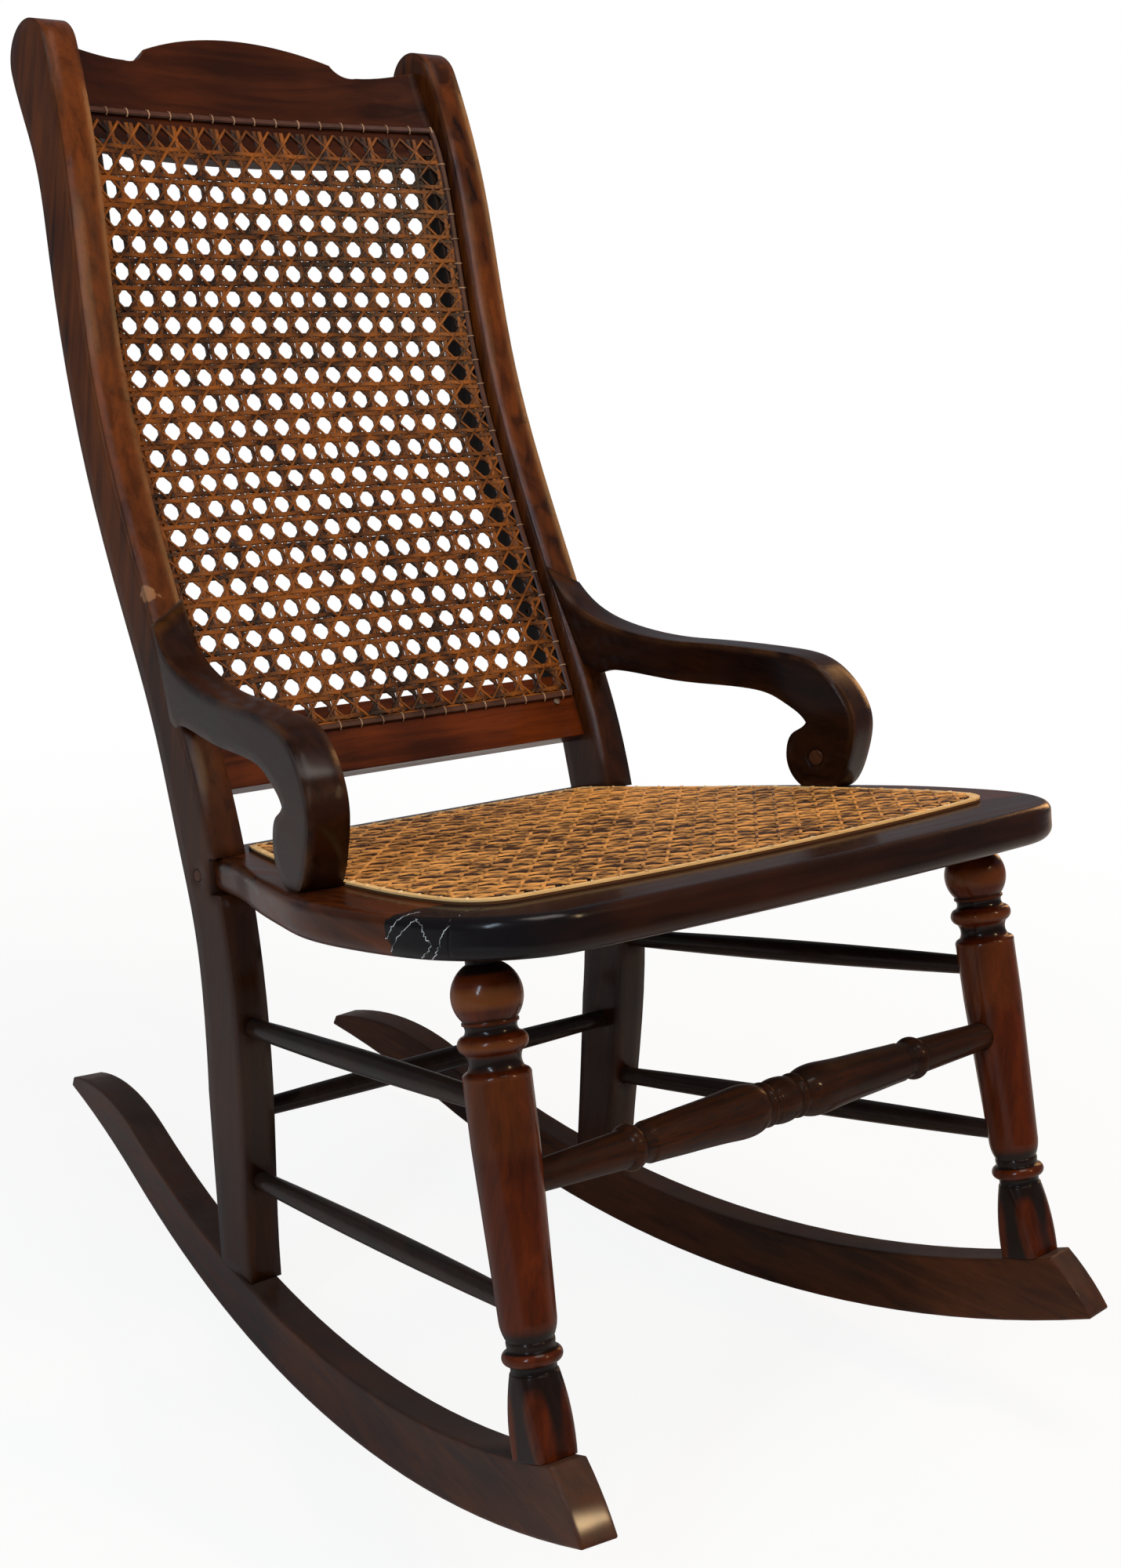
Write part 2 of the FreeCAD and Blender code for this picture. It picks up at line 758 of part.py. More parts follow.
def leg_profile():
    """Half profile of the leg, radius across and distance below the ball's centre, from stem to ankle."""
    ball, stem, neck = dim.leg_ball_radius, dim.leg_top_radius, dim.leg_neck_radius
    ring, ring_at = dim.leg_ring_radius, dim.leg_ring_place
    barrel, shoulder_at = dim.leg_barrel_radius, dim.leg_shoulder_place
    end, end_radius = dim.leg_barrel_end, dim.leg_barrel_end_radius
    collar, collar_at, ankle = dim.leg_collar_radius, dim.leg_collar_place, dim.leg_ankle_radius
    ball_top = -math.sqrt(ball ** 2 - stem ** 2)
    ball_end = math.sqrt(ball ** 2 - neck ** 2)
    high = -leg_top_distance() - 4
    outline = Outline(0, high)
    outline.line(stem, high)
    outline.line(stem, ball_top)
    outline.arc((ball, 0), (neck, ball_end))
    outline.line(neck + 0.8, ball_end + 0.5)
    outline.line(neck + 0.8, ball_end + 2)
    outline.line(neck, ball_end + 2.2)
    outline.arc((neck - 0.8, (ball_end + 2.2 + ring_at - 5.2) / 2), (neck + 0.4, ring_at - 5.2))
    outline.line(ring - 2.2, ring_at - 4.2)
    outline.arc((ring, ring_at), (neck + 1.4, ring_at + 5.4))
    outline.line(neck + 0.5, ring_at + 6.5)
    outline.arc((neck - 0.6, (ring_at + shoulder_at + 3.2) / 2), (neck + 0.6, shoulder_at - 3.6))
    outline.line(barrel - 2.0, shoulder_at - 2.6)
    outline.arc((barrel - 0.5, shoulder_at - 1.4), (barrel, shoulder_at + 1.5))
    outline.line(barrel - 0.1, shoulder_at + 40)
    outline.line(end_radius + 0.2, end - 2)
    outline.arc((end_radius - 0.8, end + 4), (ankle + 0.4, end + 9))
    outline.line(ankle + 0.9, end + 9.6)
    outline.line(ankle + 0.9, end + 11)
    outline.line(ankle + 0.5, collar_at - 4.6)
    outline.line(collar - 1.6, collar_at - 3.4)
    outline.arc((collar, collar_at), (ankle + 0.3, collar_at + 4.4))
    outline.line(ankle, collar_at + 7)
    outline.line(dim.foot_top_side / 2 - 0.4, dim.foot_place)
    outline.line(dim.foot_top_side / 2 - 0.4, dim.foot_place + 4)
    outline.line(0, dim.foot_place + 4)
    return outline.close()


def leg_top_distance():
    """Distance along the axis from the ball's centre up to the underside of the seat."""
    top, down = leg_axis(1.0)
    slope = math.radians(dim.seat_slope)
    normal = Vector(0, math.sin(slope), math.cos(slope))
    below = Vector(0, 0, dim.seat_height) - normal * dim.seat_thickness
    return (below - top).dot(normal) / down.negative().dot(normal)


def front_stretcher_outline(reach):
    """Half profile of the front stretcher, the same at both ends: radius across, distance from its middle up."""
    centre, swell, swell_at = dim.front_centre_radius, dim.front_swell_radius, dim.front_swell_place
    ring, ring_at, end = dim.front_ring_radius, dim.front_ring_place, dim.front_end_radius
    groove, waist = centre - 2, ring - 2.6
    right = [(waist, ring_at + 5.2), (ring, ring_at), (waist, ring_at - 5.2), (waist, ring_at - 12)]
    hump = [(waist + 1.2, ring_at - 14), (waist + 2.2, ring_at - 38), (swell, swell_at), (centre + 0.6, 23),
            (centre - 1.4, 18)]
    outline = Outline(0, -reach)
    for turn in (-1, 1):
        if turn < 0:
            outline.line(end, turn * reach)
            outline.line(end, turn * (reach - 14))
            outline.line(right[0][0], turn * right[0][1])
            outline.arc((right[1][0], turn * right[1][1]), (right[2][0], turn * right[2][1]))
            outline.line(right[3][0], turn * right[3][1])
            outline.line(hump[0][0], turn * hump[0][1])
            outline.curve([(r, turn * h) for r, h in hump[1:]])
            outline.line(centre - 1.2, turn * 16)
            outline.arc((centre - 0.4, turn * 13.5), (groove + 0.2, turn * 11.2))
            outline.line(groove, turn * 9.4)
            outline.line(centre - 1, turn * 8)
            outline.arc((centre, 0), (centre - 1, 8))
        else:
            outline.line(groove, 9.4)
            outline.line(groove + 0.2, 11.2)
            outline.arc((centre - 0.4, 13.5), (centre - 1.2, 16))
            outline.line(*hump[-1])
            outline.curve(list(reversed(hump[:-1])))
            outline.line(*right[3])
            outline.line(*right[2])
            outline.arc(right[1], right[0])
            outline.line(end, reach - 14)
            outline.line(end, reach)
            outline.line(0, reach)
    return outline.close()


def bar_outline(length, radius, tenon, depth):
    """Half profile of a swelled bar whose ends go into holes: radius across, distance up."""
    outline = Outline(0, 0)
    outline.line(tenon, 0)
    outline.line(tenon, depth)
    outline.curve([(radius - 0.5, length * 0.25), (radius, length * 0.5), (radius - 0.5, length * 0.75),
                   (tenon, length - depth)])
    outline.line(tenon, length)
    outline.line(0, length)
    return outline.close()


def turned_bar(label, start, end, radius):
    """Turned stretcher from one hole's bottom to the other's."""
    bar = new_body(label)
    along = (end - start).normalize()
    across = Vector(0, 0, 1).cross(along)
    length = start.distanceToPoint(end)
    outline = bar_outline(length, radius, dim.side_tenon_radius, dim.side_tenon_depth)
    revolve(bar, "bar", frame(start, across, along), outline)
    return bar


# Shape of the boards and cane of the back


def bow_at(x, half, bow):
    """How far a bowed line lies behind its chord at x, an arc that meets the chord at both halves."""
    radius = (half ** 2 + bow ** 2) / (2 * bow)
    return bow - radius + math.sqrt(radius ** 2 - x ** 2)


def slip_inner(z):
    return inner_half(z) - dim.slip_width


def cane_y(z):
    """Y of the wood under the back's cane at a height, beside the slips."""
    low = rail_top()
    high = dim.crest_bottom
    lean = math.tan(math.radians(dim.rail_lean))
    if z < low:
        return post_front(low) + dim.cane_setback + (z - low) * lean
    if z > high:
        return post_front(high) + dim.cane_setback + (z - high) * lean
    return post_front(z) + dim.cane_setback


def cane_bow(z):
    """Bow of the back's cane at a height: none at the lower rail, all of it at the crest."""
    share = (z - rail_top()) / (dim.crest_bottom - rail_top())
    return dim.crest_bow * min(max(share, 0.02), 1.0)


def rail_top():
    return dim.lower_rail_bottom + dim.lower_rail_height * math.cos(math.radians(dim.rail_lean))


def board_up():
    lean = math.radians(dim.rail_lean)
    return Vector(0, math.sin(lean), math.cos(lean))


def board_back():
    lean = math.radians(dim.rail_lean)
    return Vector(0, math.cos(lean), -math.sin(lean))


def crest_base():
    """Lower front edge of the crest rail beside the slips."""
    return Vector(0, cane_y(dim.crest_bottom), dim.crest_bottom)


def lower_rail_base():
    return Vector(0, cane_y(rail_top()), rail_top()) - board_up() * dim.lower_rail_height


def board_end(base, x):
    """Plane across a back rail at x: depth behind its front across, height up the board, facing +X."""
    return frame(base + Vector(x, 0, 0), board_back(), board_up())


def crest_outline():
    """Front of the crest rail: low ends, a dip, a step up and a crowned middle."""
    half = dim.post_half_width
    dip, step = dim.crest_dip_place, dim.crest_step_place
    low, high = dim.crest_dip_height, dim.crest_step_height
    foot = (dip + step) / 2 + 6
    outline = Outline(-half, 0)
    outline.line(half, 0)
    outline.line(half, dim.crest_end_height + 2)
    outline.curve([((half + dip) / 2, (dim.crest_end_height + low) / 2), (dip, low), (foot, low + 0.3)])
    outline.arc((step + 4.5, (low + high) / 2 - 0.5), (step, high))
    outline.arc((0, dim.crest_crown_height), (-step, high))
    outline.arc((-step - 4.5, (low + high) / 2 - 0.5), (-foot, low + 0.3))
    outline.curve([(-dip, low), (-(half + dip) / 2, (dim.crest_end_height + low) / 2),
                   (-half, dim.crest_end_height + 2)])
    return outline.close()


def bowed_area(depth, behind):
    """Area of a board's end-on view in front of, or behind, a bowed face."""
    half, bow = slip_inner(dim.crest_bottom), dim.crest_bow * math.cos(math.radians(dim.rail_lean))
    wide = dim.post_half_width
    edge = depth + bow_at(wide, half, bow)
    beyond = depth + (90.0 if behind else -90.0)
    outline = Outline(-wide, edge)
    outline.arc((0, depth + bow), (wide, edge))
    outline.line(wide, beyond)
    outline.line(-wide, beyond)
    return outline.close()


def end_offset():
    """How far the crest rail's front lies behind its base line where it meets the posts."""
    bow = dim.crest_bow * math.cos(math.radians(dim.rail_lean))
    return bow_at(inner_half(dim.crest_bottom + 40), slip_inner(dim.crest_bottom), bow)


def tenon_area(front, height, grow=0.0):
    """Section of the tenon of a back rail, or of its mortise when grown."""
    margin = 9.0 - grow
    middle = front + dim.crest_thickness / 2
    thick = dim.rail_tenon_thickness / 2 + grow
    return rectangle(middle - thick, margin, middle + thick, height - margin)


def add_tenons(body, base, front, height):
    for name, side in SIDES:
        start = inner_half(base.z + height / 2) - 12
        end = inner_half(base.z + height / 2) + dim.rail_tenon_length - 1
        low = min(side * start, side * end)
        sketch = new_sketch(body, f"{name}_end", board_end(base, low), [tenon_area(front, height)])
        pad(body, sketch, end - start, f"{name}_end_tenon")


def cut_mortise(body, side, base, front, height, name):
    start = inner_half(base.z + height / 2) - 8
    end = inner_half(base.z + height / 2) + dim.rail_tenon_length
    high = max(side * start, side * end)
    sketch = new_sketch(body, name, board_end(base, high), [tenon_area(front, height, dim.joint_gap)])
    pocket(body, sketch, end - start, f"{name}_mortise")


def fit_between_posts(body):
    for name, side in SIDES:
        area = strip_cut(side, lambda z: inner_half(z) - dim.joint_gap, 60.0)
        pocket(body, new_sketch(body, f"{name}_fit", front_view(-FAR / 2), [area]), FAR, f"{name}_fit_cut")


def cane_edge(z, inset=0.0):
    """Half width of the back's cane at a height."""
    return inner_half(z) - 8.0 - inset


def cane_section(z, lift, thickness):
    """Thin bowed strip across the back at a height, lifted off the wood."""
    half, bow, edge = slip_inner(z), cane_bow(z), cane_edge(z)
    back = cane_y(z) - lift
    front = back - thickness
    side = bow_at(edge, half, bow)
    outline = Outline(-edge, front + side)
    outline.arc((0, front + bow), (edge, front + side))
    outline.line(edge, back + side)
    outline.arc((0, back + bow), (-edge, back + side))
    return outline.close()


def cane_sheet(body, lift, thickness):
    """Thin sheet over the fronts of crest, slips and lower rail."""
    low, high = dim.back_cane_low, dim.back_cane_high
    middle = [rail_top() + (dim.crest_bottom - rail_top()) * step / 7 for step in range(8)]
    sections = [new_sketch(body, f"section_{i}", plan_view(z), [cane_section(z, lift, thickness)])
                for i, z in enumerate([low] + middle + [high])]
    loft = body.newObject("PartDesign::AdditiveLoft", f"{body.Name}_sheet")
    loft.Profile = sections[0]
    loft.Sections = sections[1:]
    doc.recompute()


def seat_lap():
    """Section of the notch in a post's front edge that takes the end of the side rail."""
    gap = dim.joint_gap / math.cos(math.radians(dim.seat_slope))
    thick = dim.seat_thickness / math.cos(math.radians(dim.seat_slope))
    ahead, lap = dim.hip_front - 60, dim.hip_front + dim.seat_notch + dim.joint_gap
    return polygon([(ahead, seat_z(ahead) + gap), (ahead, seat_z(ahead) - thick - gap),
                    (lap, seat_z(lap) - thick - gap), (lap, seat_z(lap) + gap)])


def fit_to_rocker(body, side):
    """Cuts the foot of a post or leg to the rocker's top."""
    sketch = new_sketch(body, "landing", rocker_plane(side, -side * 80), [below_rocker_top()])
    pocket(body, sketch, 160.0, "landing_cut")


def leg_landing(side):
    """Point where the leg's axis meets the top of the rocker."""
    z = dim.leg_foot_height
    for _ in range(20):
        z = rocker_top(along_rocker(leg_point(side, z).y))
    return leg_point(side, z)


def leg_section(side, distance, wide, deep, corner, body, name):
    """Rounded rectangle across the leg at a distance below the ball's centre."""
    top, down = leg_axis(side)
    across = Vector(1, 0, 0) - down * down.x
    place = frame(top + down * distance, across, down.cross(across))
    x, y = wide / 2, deep / 2
    bulge = corner * (1 - math.sqrt(0.5))
    outline = Outline(corner - x, -y)
    outline.line(x - corner, -y)
    outline.arc((x - bulge, bulge - y), (x, corner - y))
    outline.line(x, y - corner)
    outline.arc((x - bulge, y - bulge), (x - corner, y))
    outline.line(corner - x, y)
    outline.arc((bulge - x, y - bulge), (-x, y - corner))
    outline.line(-x, corner - y)
    outline.arc((bulge - x, bulge - y), (corner - x, -y))
    return new_sketch(body, name, place, [outline])


def bore(body, name, mouth, direction, radius_size, depth):
    """Bores from a mouth on the surface into the body, starting a little outside it."""
    inward = Vector(direction).normalize()
    lead = 6.0
    round_hole(body, name, Vector(mouth) - inward * lead, inward, radius_size, depth + lead + dim.joint_gap)


# Shape of the arms


def arm_plane(side):
    """Plane of an arm's inner face, splayed outwards to the front, facing +X."""
    splay = math.radians(dim.arm_splay)
    along = Vector(-side * math.sin(splay), math.cos(splay), 0)
    return frame((side * dim.arm_half_width, 0, 0), along, (0, 0, 1))


def arm_inner(y):
    return dim.arm_half_width - y * math.tan(math.radians(dim.arm_splay))


def arm_outline():
    """Flat top that sweeps up to the post at the rear and rolls down to a scroll at the front."""
    stretch = 1 / math.cos(math.radians(dim.arm_splay))
    top, under = dim.arm_crest_height, dim.arm_crest_height - dim.arm_depth
    reach, radius = dim.arm_reach, dim.scroll_radius
    scroll_y, scroll_z = -dim.scroll_reach, dim.seat_height + dim.scroll_radius + 0.3
    low, tip = station("arm_low")[0], station("arm_top")

    def at(y, z):
        return (y * stretch, z)

    outline = Outline(*at(tip[0] + 16, tip[1] + 19))
    outline.line(*at(*tip))
    outline.curve([at(tip[0] - 10.5, tip[1] - 12.5), at(tip[0] - 28, tip[1] - 29), at(low - 23, top + 5),
                   at(low - 72, top - 0.6), at(70, top)],
                  (-0.64, -0.76), (-1, 0))
    outline.curve([at(25, top - 0.8), at(-6, top - 5.5), at(-28, top - 21), at(-reach, top - 45),
                   at(scroll_y - radius - 1.6, scroll_z + 5), at(scroll_y - radius * 0.72, scroll_z - radius * 0.7),
                   at(scroll_y, scroll_z - radius)], (-1, 0), (1, 0))
    outline.arc(at(scroll_y + radius * 0.707, scroll_z - radius * 0.707), at(scroll_y + radius, scroll_z))
    outline.curve([at(scroll_y + radius * 0.8, scroll_z + radius * 0.62), at(-2, under - 20.5)], (0, 1), (-0.5, 1))
    outline.curve([at(13, under - 9.5), at(29, under - 2.6), at(49, under), at(low - 76, under - 0.3),
                   at(low - 15, under + 0.7), at(low + 10, under + 6)], (0.7, 1), (1, 0.45))
    outline.line(*at(low + 29, under + 16))
    return outline.close()


def behind_arm_seam():
    """Area of the side view behind the seam between arm and post, a joint gap in front of the post."""
    low, high = station("arm_low"), station("arm_top")
    rise = seam_direction()
    gap = dim.joint_gap
    start = (low[0] - rise[0] * 60 - gap, low[1] - rise[1] * 60)
    end = (high[0] + rise[0] * 60 - gap, high[1] + rise[1] * 60)
    return polygon([start, (start[0] + 260, start[1]), (end[0] + 260, end[1]), end])


def scroll_bottom(side):
    """Middle of the scroll's seat on the side rail."""
    y = -dim.scroll_reach
    return Vector(side * (arm_inner(y) + dim.arm_thickness / 2), y, seat_z(y))


def seam_middle(side, share):
    """Point of the arm's seam, a share of the way up it, in the middle of the post's thickness."""
    low, high = station("arm_low"), station("arm_top")
    z = low[1] + (high[1] - low[1]) * share
    y = low[0] + (high[0] - low[0]) * share
    return Vector(side * (inner_half(z) + dim.post_thickness / 2), y, z)


# The pieces

rockers, posts, legs, side_rails, arms, slips = {}, {}, {}, {}, {}, {}
for name, side in SIDES:
    rocker = new_body(f"{name}_rocker")
    outline = new_sketch(rocker, "outline", rocker_plane(side), [rocker_outline()])
    pad(rocker, outline, "sizes.rocker_thickness", "plank", reverse=side > 0)
    round_edges(rocker, lambda edge: True, "rocker_round", "eased")
    rockers[side] = rocker

    post = new_body(f"{name}_back_post")
    stock = dim.post_thickness + dim.post_bow + 20
    start = dim.post_half_width - dim.post_thickness - 10
    outline = new_sketch(post, "outline", side_view(start if side > 0 else -start - stock), [post_outline()])
    pad(post, outline, stock, "plank")
    cut_strip(post, side, post_half, inner_half)
    fit_to_rocker(post, side)
    pocket(post, new_sketch(post, "lap", side_view(start + stock if side > 0 else -start), [seat_lap()]),
           stock, "lap_cut")
    posts[side] = post

seat = new_body("seat_front_rail")
seat_ring(seat)
pocket(seat, new_sketch(seat, "joints", plan_view(FAR / 2), [behind_seams()]), FAR, "joint_cut")
for name, side in SIDES:
    rail = new_body(f"{name}_seat_rail")
    seat_ring(rail)
    pocket(rail, new_sketch(rail, "rear", plan_view(FAR / 2), [beyond_side_rail(side)]), FAR, "rear_cut")
    pocket(rail, new_sketch(rail, "joint", plan_view(FAR / 2), [before_seams()]), FAR, "joint_cut")
    side_rails[side] = rail

rear_rail = new_body("seat_rear_rail")
reach = dim.post_half_width
depth = (dim.opening_rear, dim.opening_rear + dim.rear_rail_depth)
outline = new_sketch(rear_rail, "outline", seat_plane(dim.seat_thickness),
                     [rectangle(-reach, depth[0] - 20, reach, depth[1])])
pad(rear_rail, outline, "sizes.seat_thickness", "plank")
front_cut = rectangle(-reach, dim.opening_rear - 60, reach, dim.opening_rear)
pocket(rear_rail, new_sketch(rear_rail, "front", plan_view(FAR / 2), [front_cut]), FAR, "front_cut")
fit_between_posts(rear_rail)

for name, side in SIDES:
    leg = new_body(f"{name}_front_leg")
    top, down = leg_axis(side)
    across = Vector(1, 0, 0) - down * down.x
    revolve(leg, "stem", frame(top, across, down), leg_profile())
    landing = leg_landing(side)
    foot_end = top.distanceToPoint(landing) + 8
    round_side, swell, foot = dim.foot_top_side, dim.foot_swell_side, dim.foot_place
    sections = [
        leg_section(side, foot, round_side, round_side, round_side / 2 - 0.6, leg, "foot_top"),
        leg_section(side, foot + 18, swell, swell, 9.0, leg, "foot_swell"),
        leg_section(side, foot_end, dim.foot_base_side, dim.foot_base_length, 4.5, leg, "foot_base"),
    ]
    loft = leg.newObject("PartDesign::AdditiveLoft", f"{leg.Name}_foot")
    loft.Profile = sections[0]
    loft.Sections = sections[1:]
    doc.recompute()
    fit_to_rocker(leg, side)
    above = rectangle(-FAR / 4, -FAR / 4, FAR / 4, FAR / 4)
    high = new_sketch(leg, "under_seat", seat_plane(-40), [above])
    pocket(leg, high, 40 + dim.seat_thickness + dim.joint_gap, "under_seat_cut")
    hidden = 8.0
    stem_top = top - down * leg_top_distance()
    round_peg(leg, "top", stem_top + down * hidden, down.negative(), "leg_tenon_radius",
              hidden + dim.leg_tenon_depth)
    round_peg(leg, "foot", landing - down * hidden, down, "foot_tenon_radius", hidden + dim.foot_tenon_depth)
    legs[side] = leg
    bore(side_rails[side], "leg", stem_top, down.negative(), "leg_tenon_radius", dim.leg_tenon_depth)
    bore(rockers[side], "leg", landing, down, "foot_tenon_radius", dim.foot_tenon_depth)

# Stretchers
reach = leg_point(1.0, dim.front_stretcher_height)
leg_radius = dim.leg_barrel_radius - 1.6
front = new_body("front_stretcher")
half = reach.x - leg_radius + dim.side_tenon_depth
centre = Vector(0, reach.y, reach.z)
revolve(front, "bar", frame(centre, (0, 0, -1), (1, 0, 0)), front_stretcher_outline(half))
for name, side in SIDES:
    mouth = centre + Vector(side * (reach.x - leg_radius), 0, 0)
    bore(legs[side], "front_stretcher", mouth, (side, 0, 0), "front_end_radius", dim.side_tenon_depth)
    for level in ("upper", "lower"):
        rear_z = getattr(dim, f"{level}_stretcher_rear_height")
        at_leg = leg_point(side, getattr(dim, f"{level}_stretcher_front_height"))
        at_post = Vector(side * (inner_half(rear_z) + dim.post_thickness / 2), post_front(rear_z), rear_z)
        along = (at_leg - at_post).normalize()
        on_leg = at_leg - along * leg_radius
        start = at_post - along * dim.side_tenon_depth
        end = on_leg + along * dim.side_tenon_depth
        turned_bar(f"{name}_{level}_stretcher", start, end, dim.side_stretcher_radius)
        bore(posts[side], f"{level}_stretcher", at_post, along.negative(), "side_tenon_radius",
             dim.side_tenon_depth)
        bore(legs[side], f"{level}_stretcher", on_leg, along, "side_tenon_radius", dim.side_tenon_depth)
height = dim.rear_stretcher_height
post_middle = post_front(height) + dim.foot_depth / 2 + 2
mouth = inner_half(height)
end = Vector(mouth + dim.side_tenon_depth, post_middle, height)
turned_bar("rear_stretcher", Vector(-end.x, end.y, end.z), end, dim.rear_stretcher_radius)
for name, side in SIDES:
    bore(posts[side], "rear_stretcher", (side * mouth, post_middle, height), (side, 0, 0), "side_tenon_radius",
         dim.side_tenon_depth)

# Back rails, slips and cane
crest = new_body("crest_rail")
base = crest_base()
depth = dim.crest_thickness + dim.crest_bow + 6
face = frame(base + board_back() * depth, (1, 0, 0), board_up())
pad(crest, new_sketch(crest, "outline", face, [crest_outline()]), depth + 20, "board")
above = frame(base + board_up() * 140, (1, 0, 0), board_back())
for label, place, behind in (("front", 0.0, False), ("rear", dim.crest_thickness, True)):
    pocket(crest, new_sketch(crest, label, above, [bowed_area(place, behind)]), 200.0, f"{label}_cut")
fit_between_posts(crest)
add_tenons(crest, base, end_offset(), dim.crest_end_height)

lower = new_body("lower_back_rail")
low_base = lower_rail_base()
section = rectangle(0, 0, dim.lower_rail_thickness, dim.lower_rail_height)
reach = dim.post_half_width
pad(lower, new_sketch(lower, "section", board_end(low_base, -reach), [section]), 2 * reach, "board")
fit_between_posts(lower)
add_tenons(lower, low_base, 0.0, dim.lower_rail_height)

for name, side in SIDES:
    slip = new_body(f"{name}_cane_slip")
    gap = dim.joint_gap
    drop = dim.slip_depth * math.tan(math.radians(dim.rail_lean))
    low, high = rail_top() + gap, dim.crest_bottom - gap
    heights = [low + (high - low) * step / 8 for step in range(9)]
    front_line = [(cane_y(z), z) for z in heights]
    rear_line = [(cane_y(z) + dim.slip_depth, z - drop) for z in reversed(heights)]
    outline = Outline(*front_line[0])
    outline.curve(front_line[1:])
    outline.line(*rear_line[0])
    outline.curve(rear_line[1:])
    start = inner_half(dim.crest_bottom) - dim.slip_width - 8
    stock = dim.slip_width + dim.post_bow + 16
    sketch = new_sketch(slip, "outline", side_view(start if side > 0 else -start - stock), [outline.close()])
    pad(slip, sketch, stock, "strip")
    cut_strip(slip, side, lambda z: inner_half(z) - gap, slip_inner)
    slips[side] = slip
    cut_mortise(posts[side], side, base, end_offset(), dim.crest_end_height, "crest")
    cut_mortise(posts[side], side, low_base, 0.0, dim.lower_rail_height, "lower_rail")

cane = new_body("back_cane")
cane_sheet(cane, 0.1, dim.cane_thickness)
binder = new_body("back_binder")
cane_sheet(binder, 0.2 + dim.cane_thickness, dim.binder_thickness)
width = dim.binder_width
low, high = dim.back_cane_low + width, dim.back_cane_high - width
middle = (low + high) / 2
inside = Outline(-cane_edge(low, width), low)
inside.line(cane_edge(low, width), low)
inside.arc((cane_edge(middle, width), middle), (cane_edge(high, width), high))
inside.line(-cane_edge(high, width), high)
inside.arc((-cane_edge(middle, width), middle), (-cane_edge(low, width), low))
pocket(binder, new_sketch(binder, "inside", front_view(-FAR / 2), [inside]), FAR, "inside_cut")

# Seat cane
seat_cane = new_body("seat_cane")
pad(seat_cane, new_sketch(seat_cane, "outline", seat_plane(-0.1), [opening_outline(dim.cane_margin)]),
    "sizes.cane_thickness", "sheet")
seat_binder = new_body("seat_binder")
ring = [opening_outline(dim.cane_margin), opening_outline(dim.cane_margin - dim.binder_width)]
pad(seat_binder, new_sketch(seat_binder, "outline", seat_plane(-0.2 - dim.cane_thickness), ring),
    "sizes.binder_thickness", "ring")

# Arms
for name, side in SIDES:
    arm = new_body(f"{name}_arm")
    pad(arm, new_sketch(arm, "outline", arm_plane(side), [arm_outline()]), "sizes.arm_thickness", "plank",
        reverse=side < 0)
    span = (130.0, 290.0)
    place = side_view(span[1] if side > 0 else -span[0])
    pocket(arm, new_sketch(arm, "seam", place, [behind_arm_seam()]), span[1] - span[0], "seam_cut")
    below = rectangle(-FAR / 4, -FAR / 4, FAR / 4, FAR / 4)
    pocket(arm, new_sketch(arm, "on_seat", seat_plane(-dim.joint_gap), [below]), 60.0, "on_seat_cut")
    arms[side] = arm

# Fixings


def dowel(name, middle, direction, radius_size, length_size):
    """Round bar centred on a joint."""
    along = Vector(direction).normalize()
    start = Vector(middle) - along * (getattr(dim, length_size) / 2)
    return new_cylinder(name, start, along, radius_size, length_size)


def screw(name, head, direction, length_size):
    """Headed screw driven along the direction, its head's outer face at the given point."""
    along = Vector(direction).normalize()
    shank = new_cylinder(f"{name}_shank", head, along, "screw_radius", length_size)
    cap = new_cylinder(f"{name}_head", head, along, "screw_head_radius", "screw_head_height")
    fused = doc.addObject("Part::Fuse", name)
    fused.Base = cap
    fused.Tool = shank
    return fused


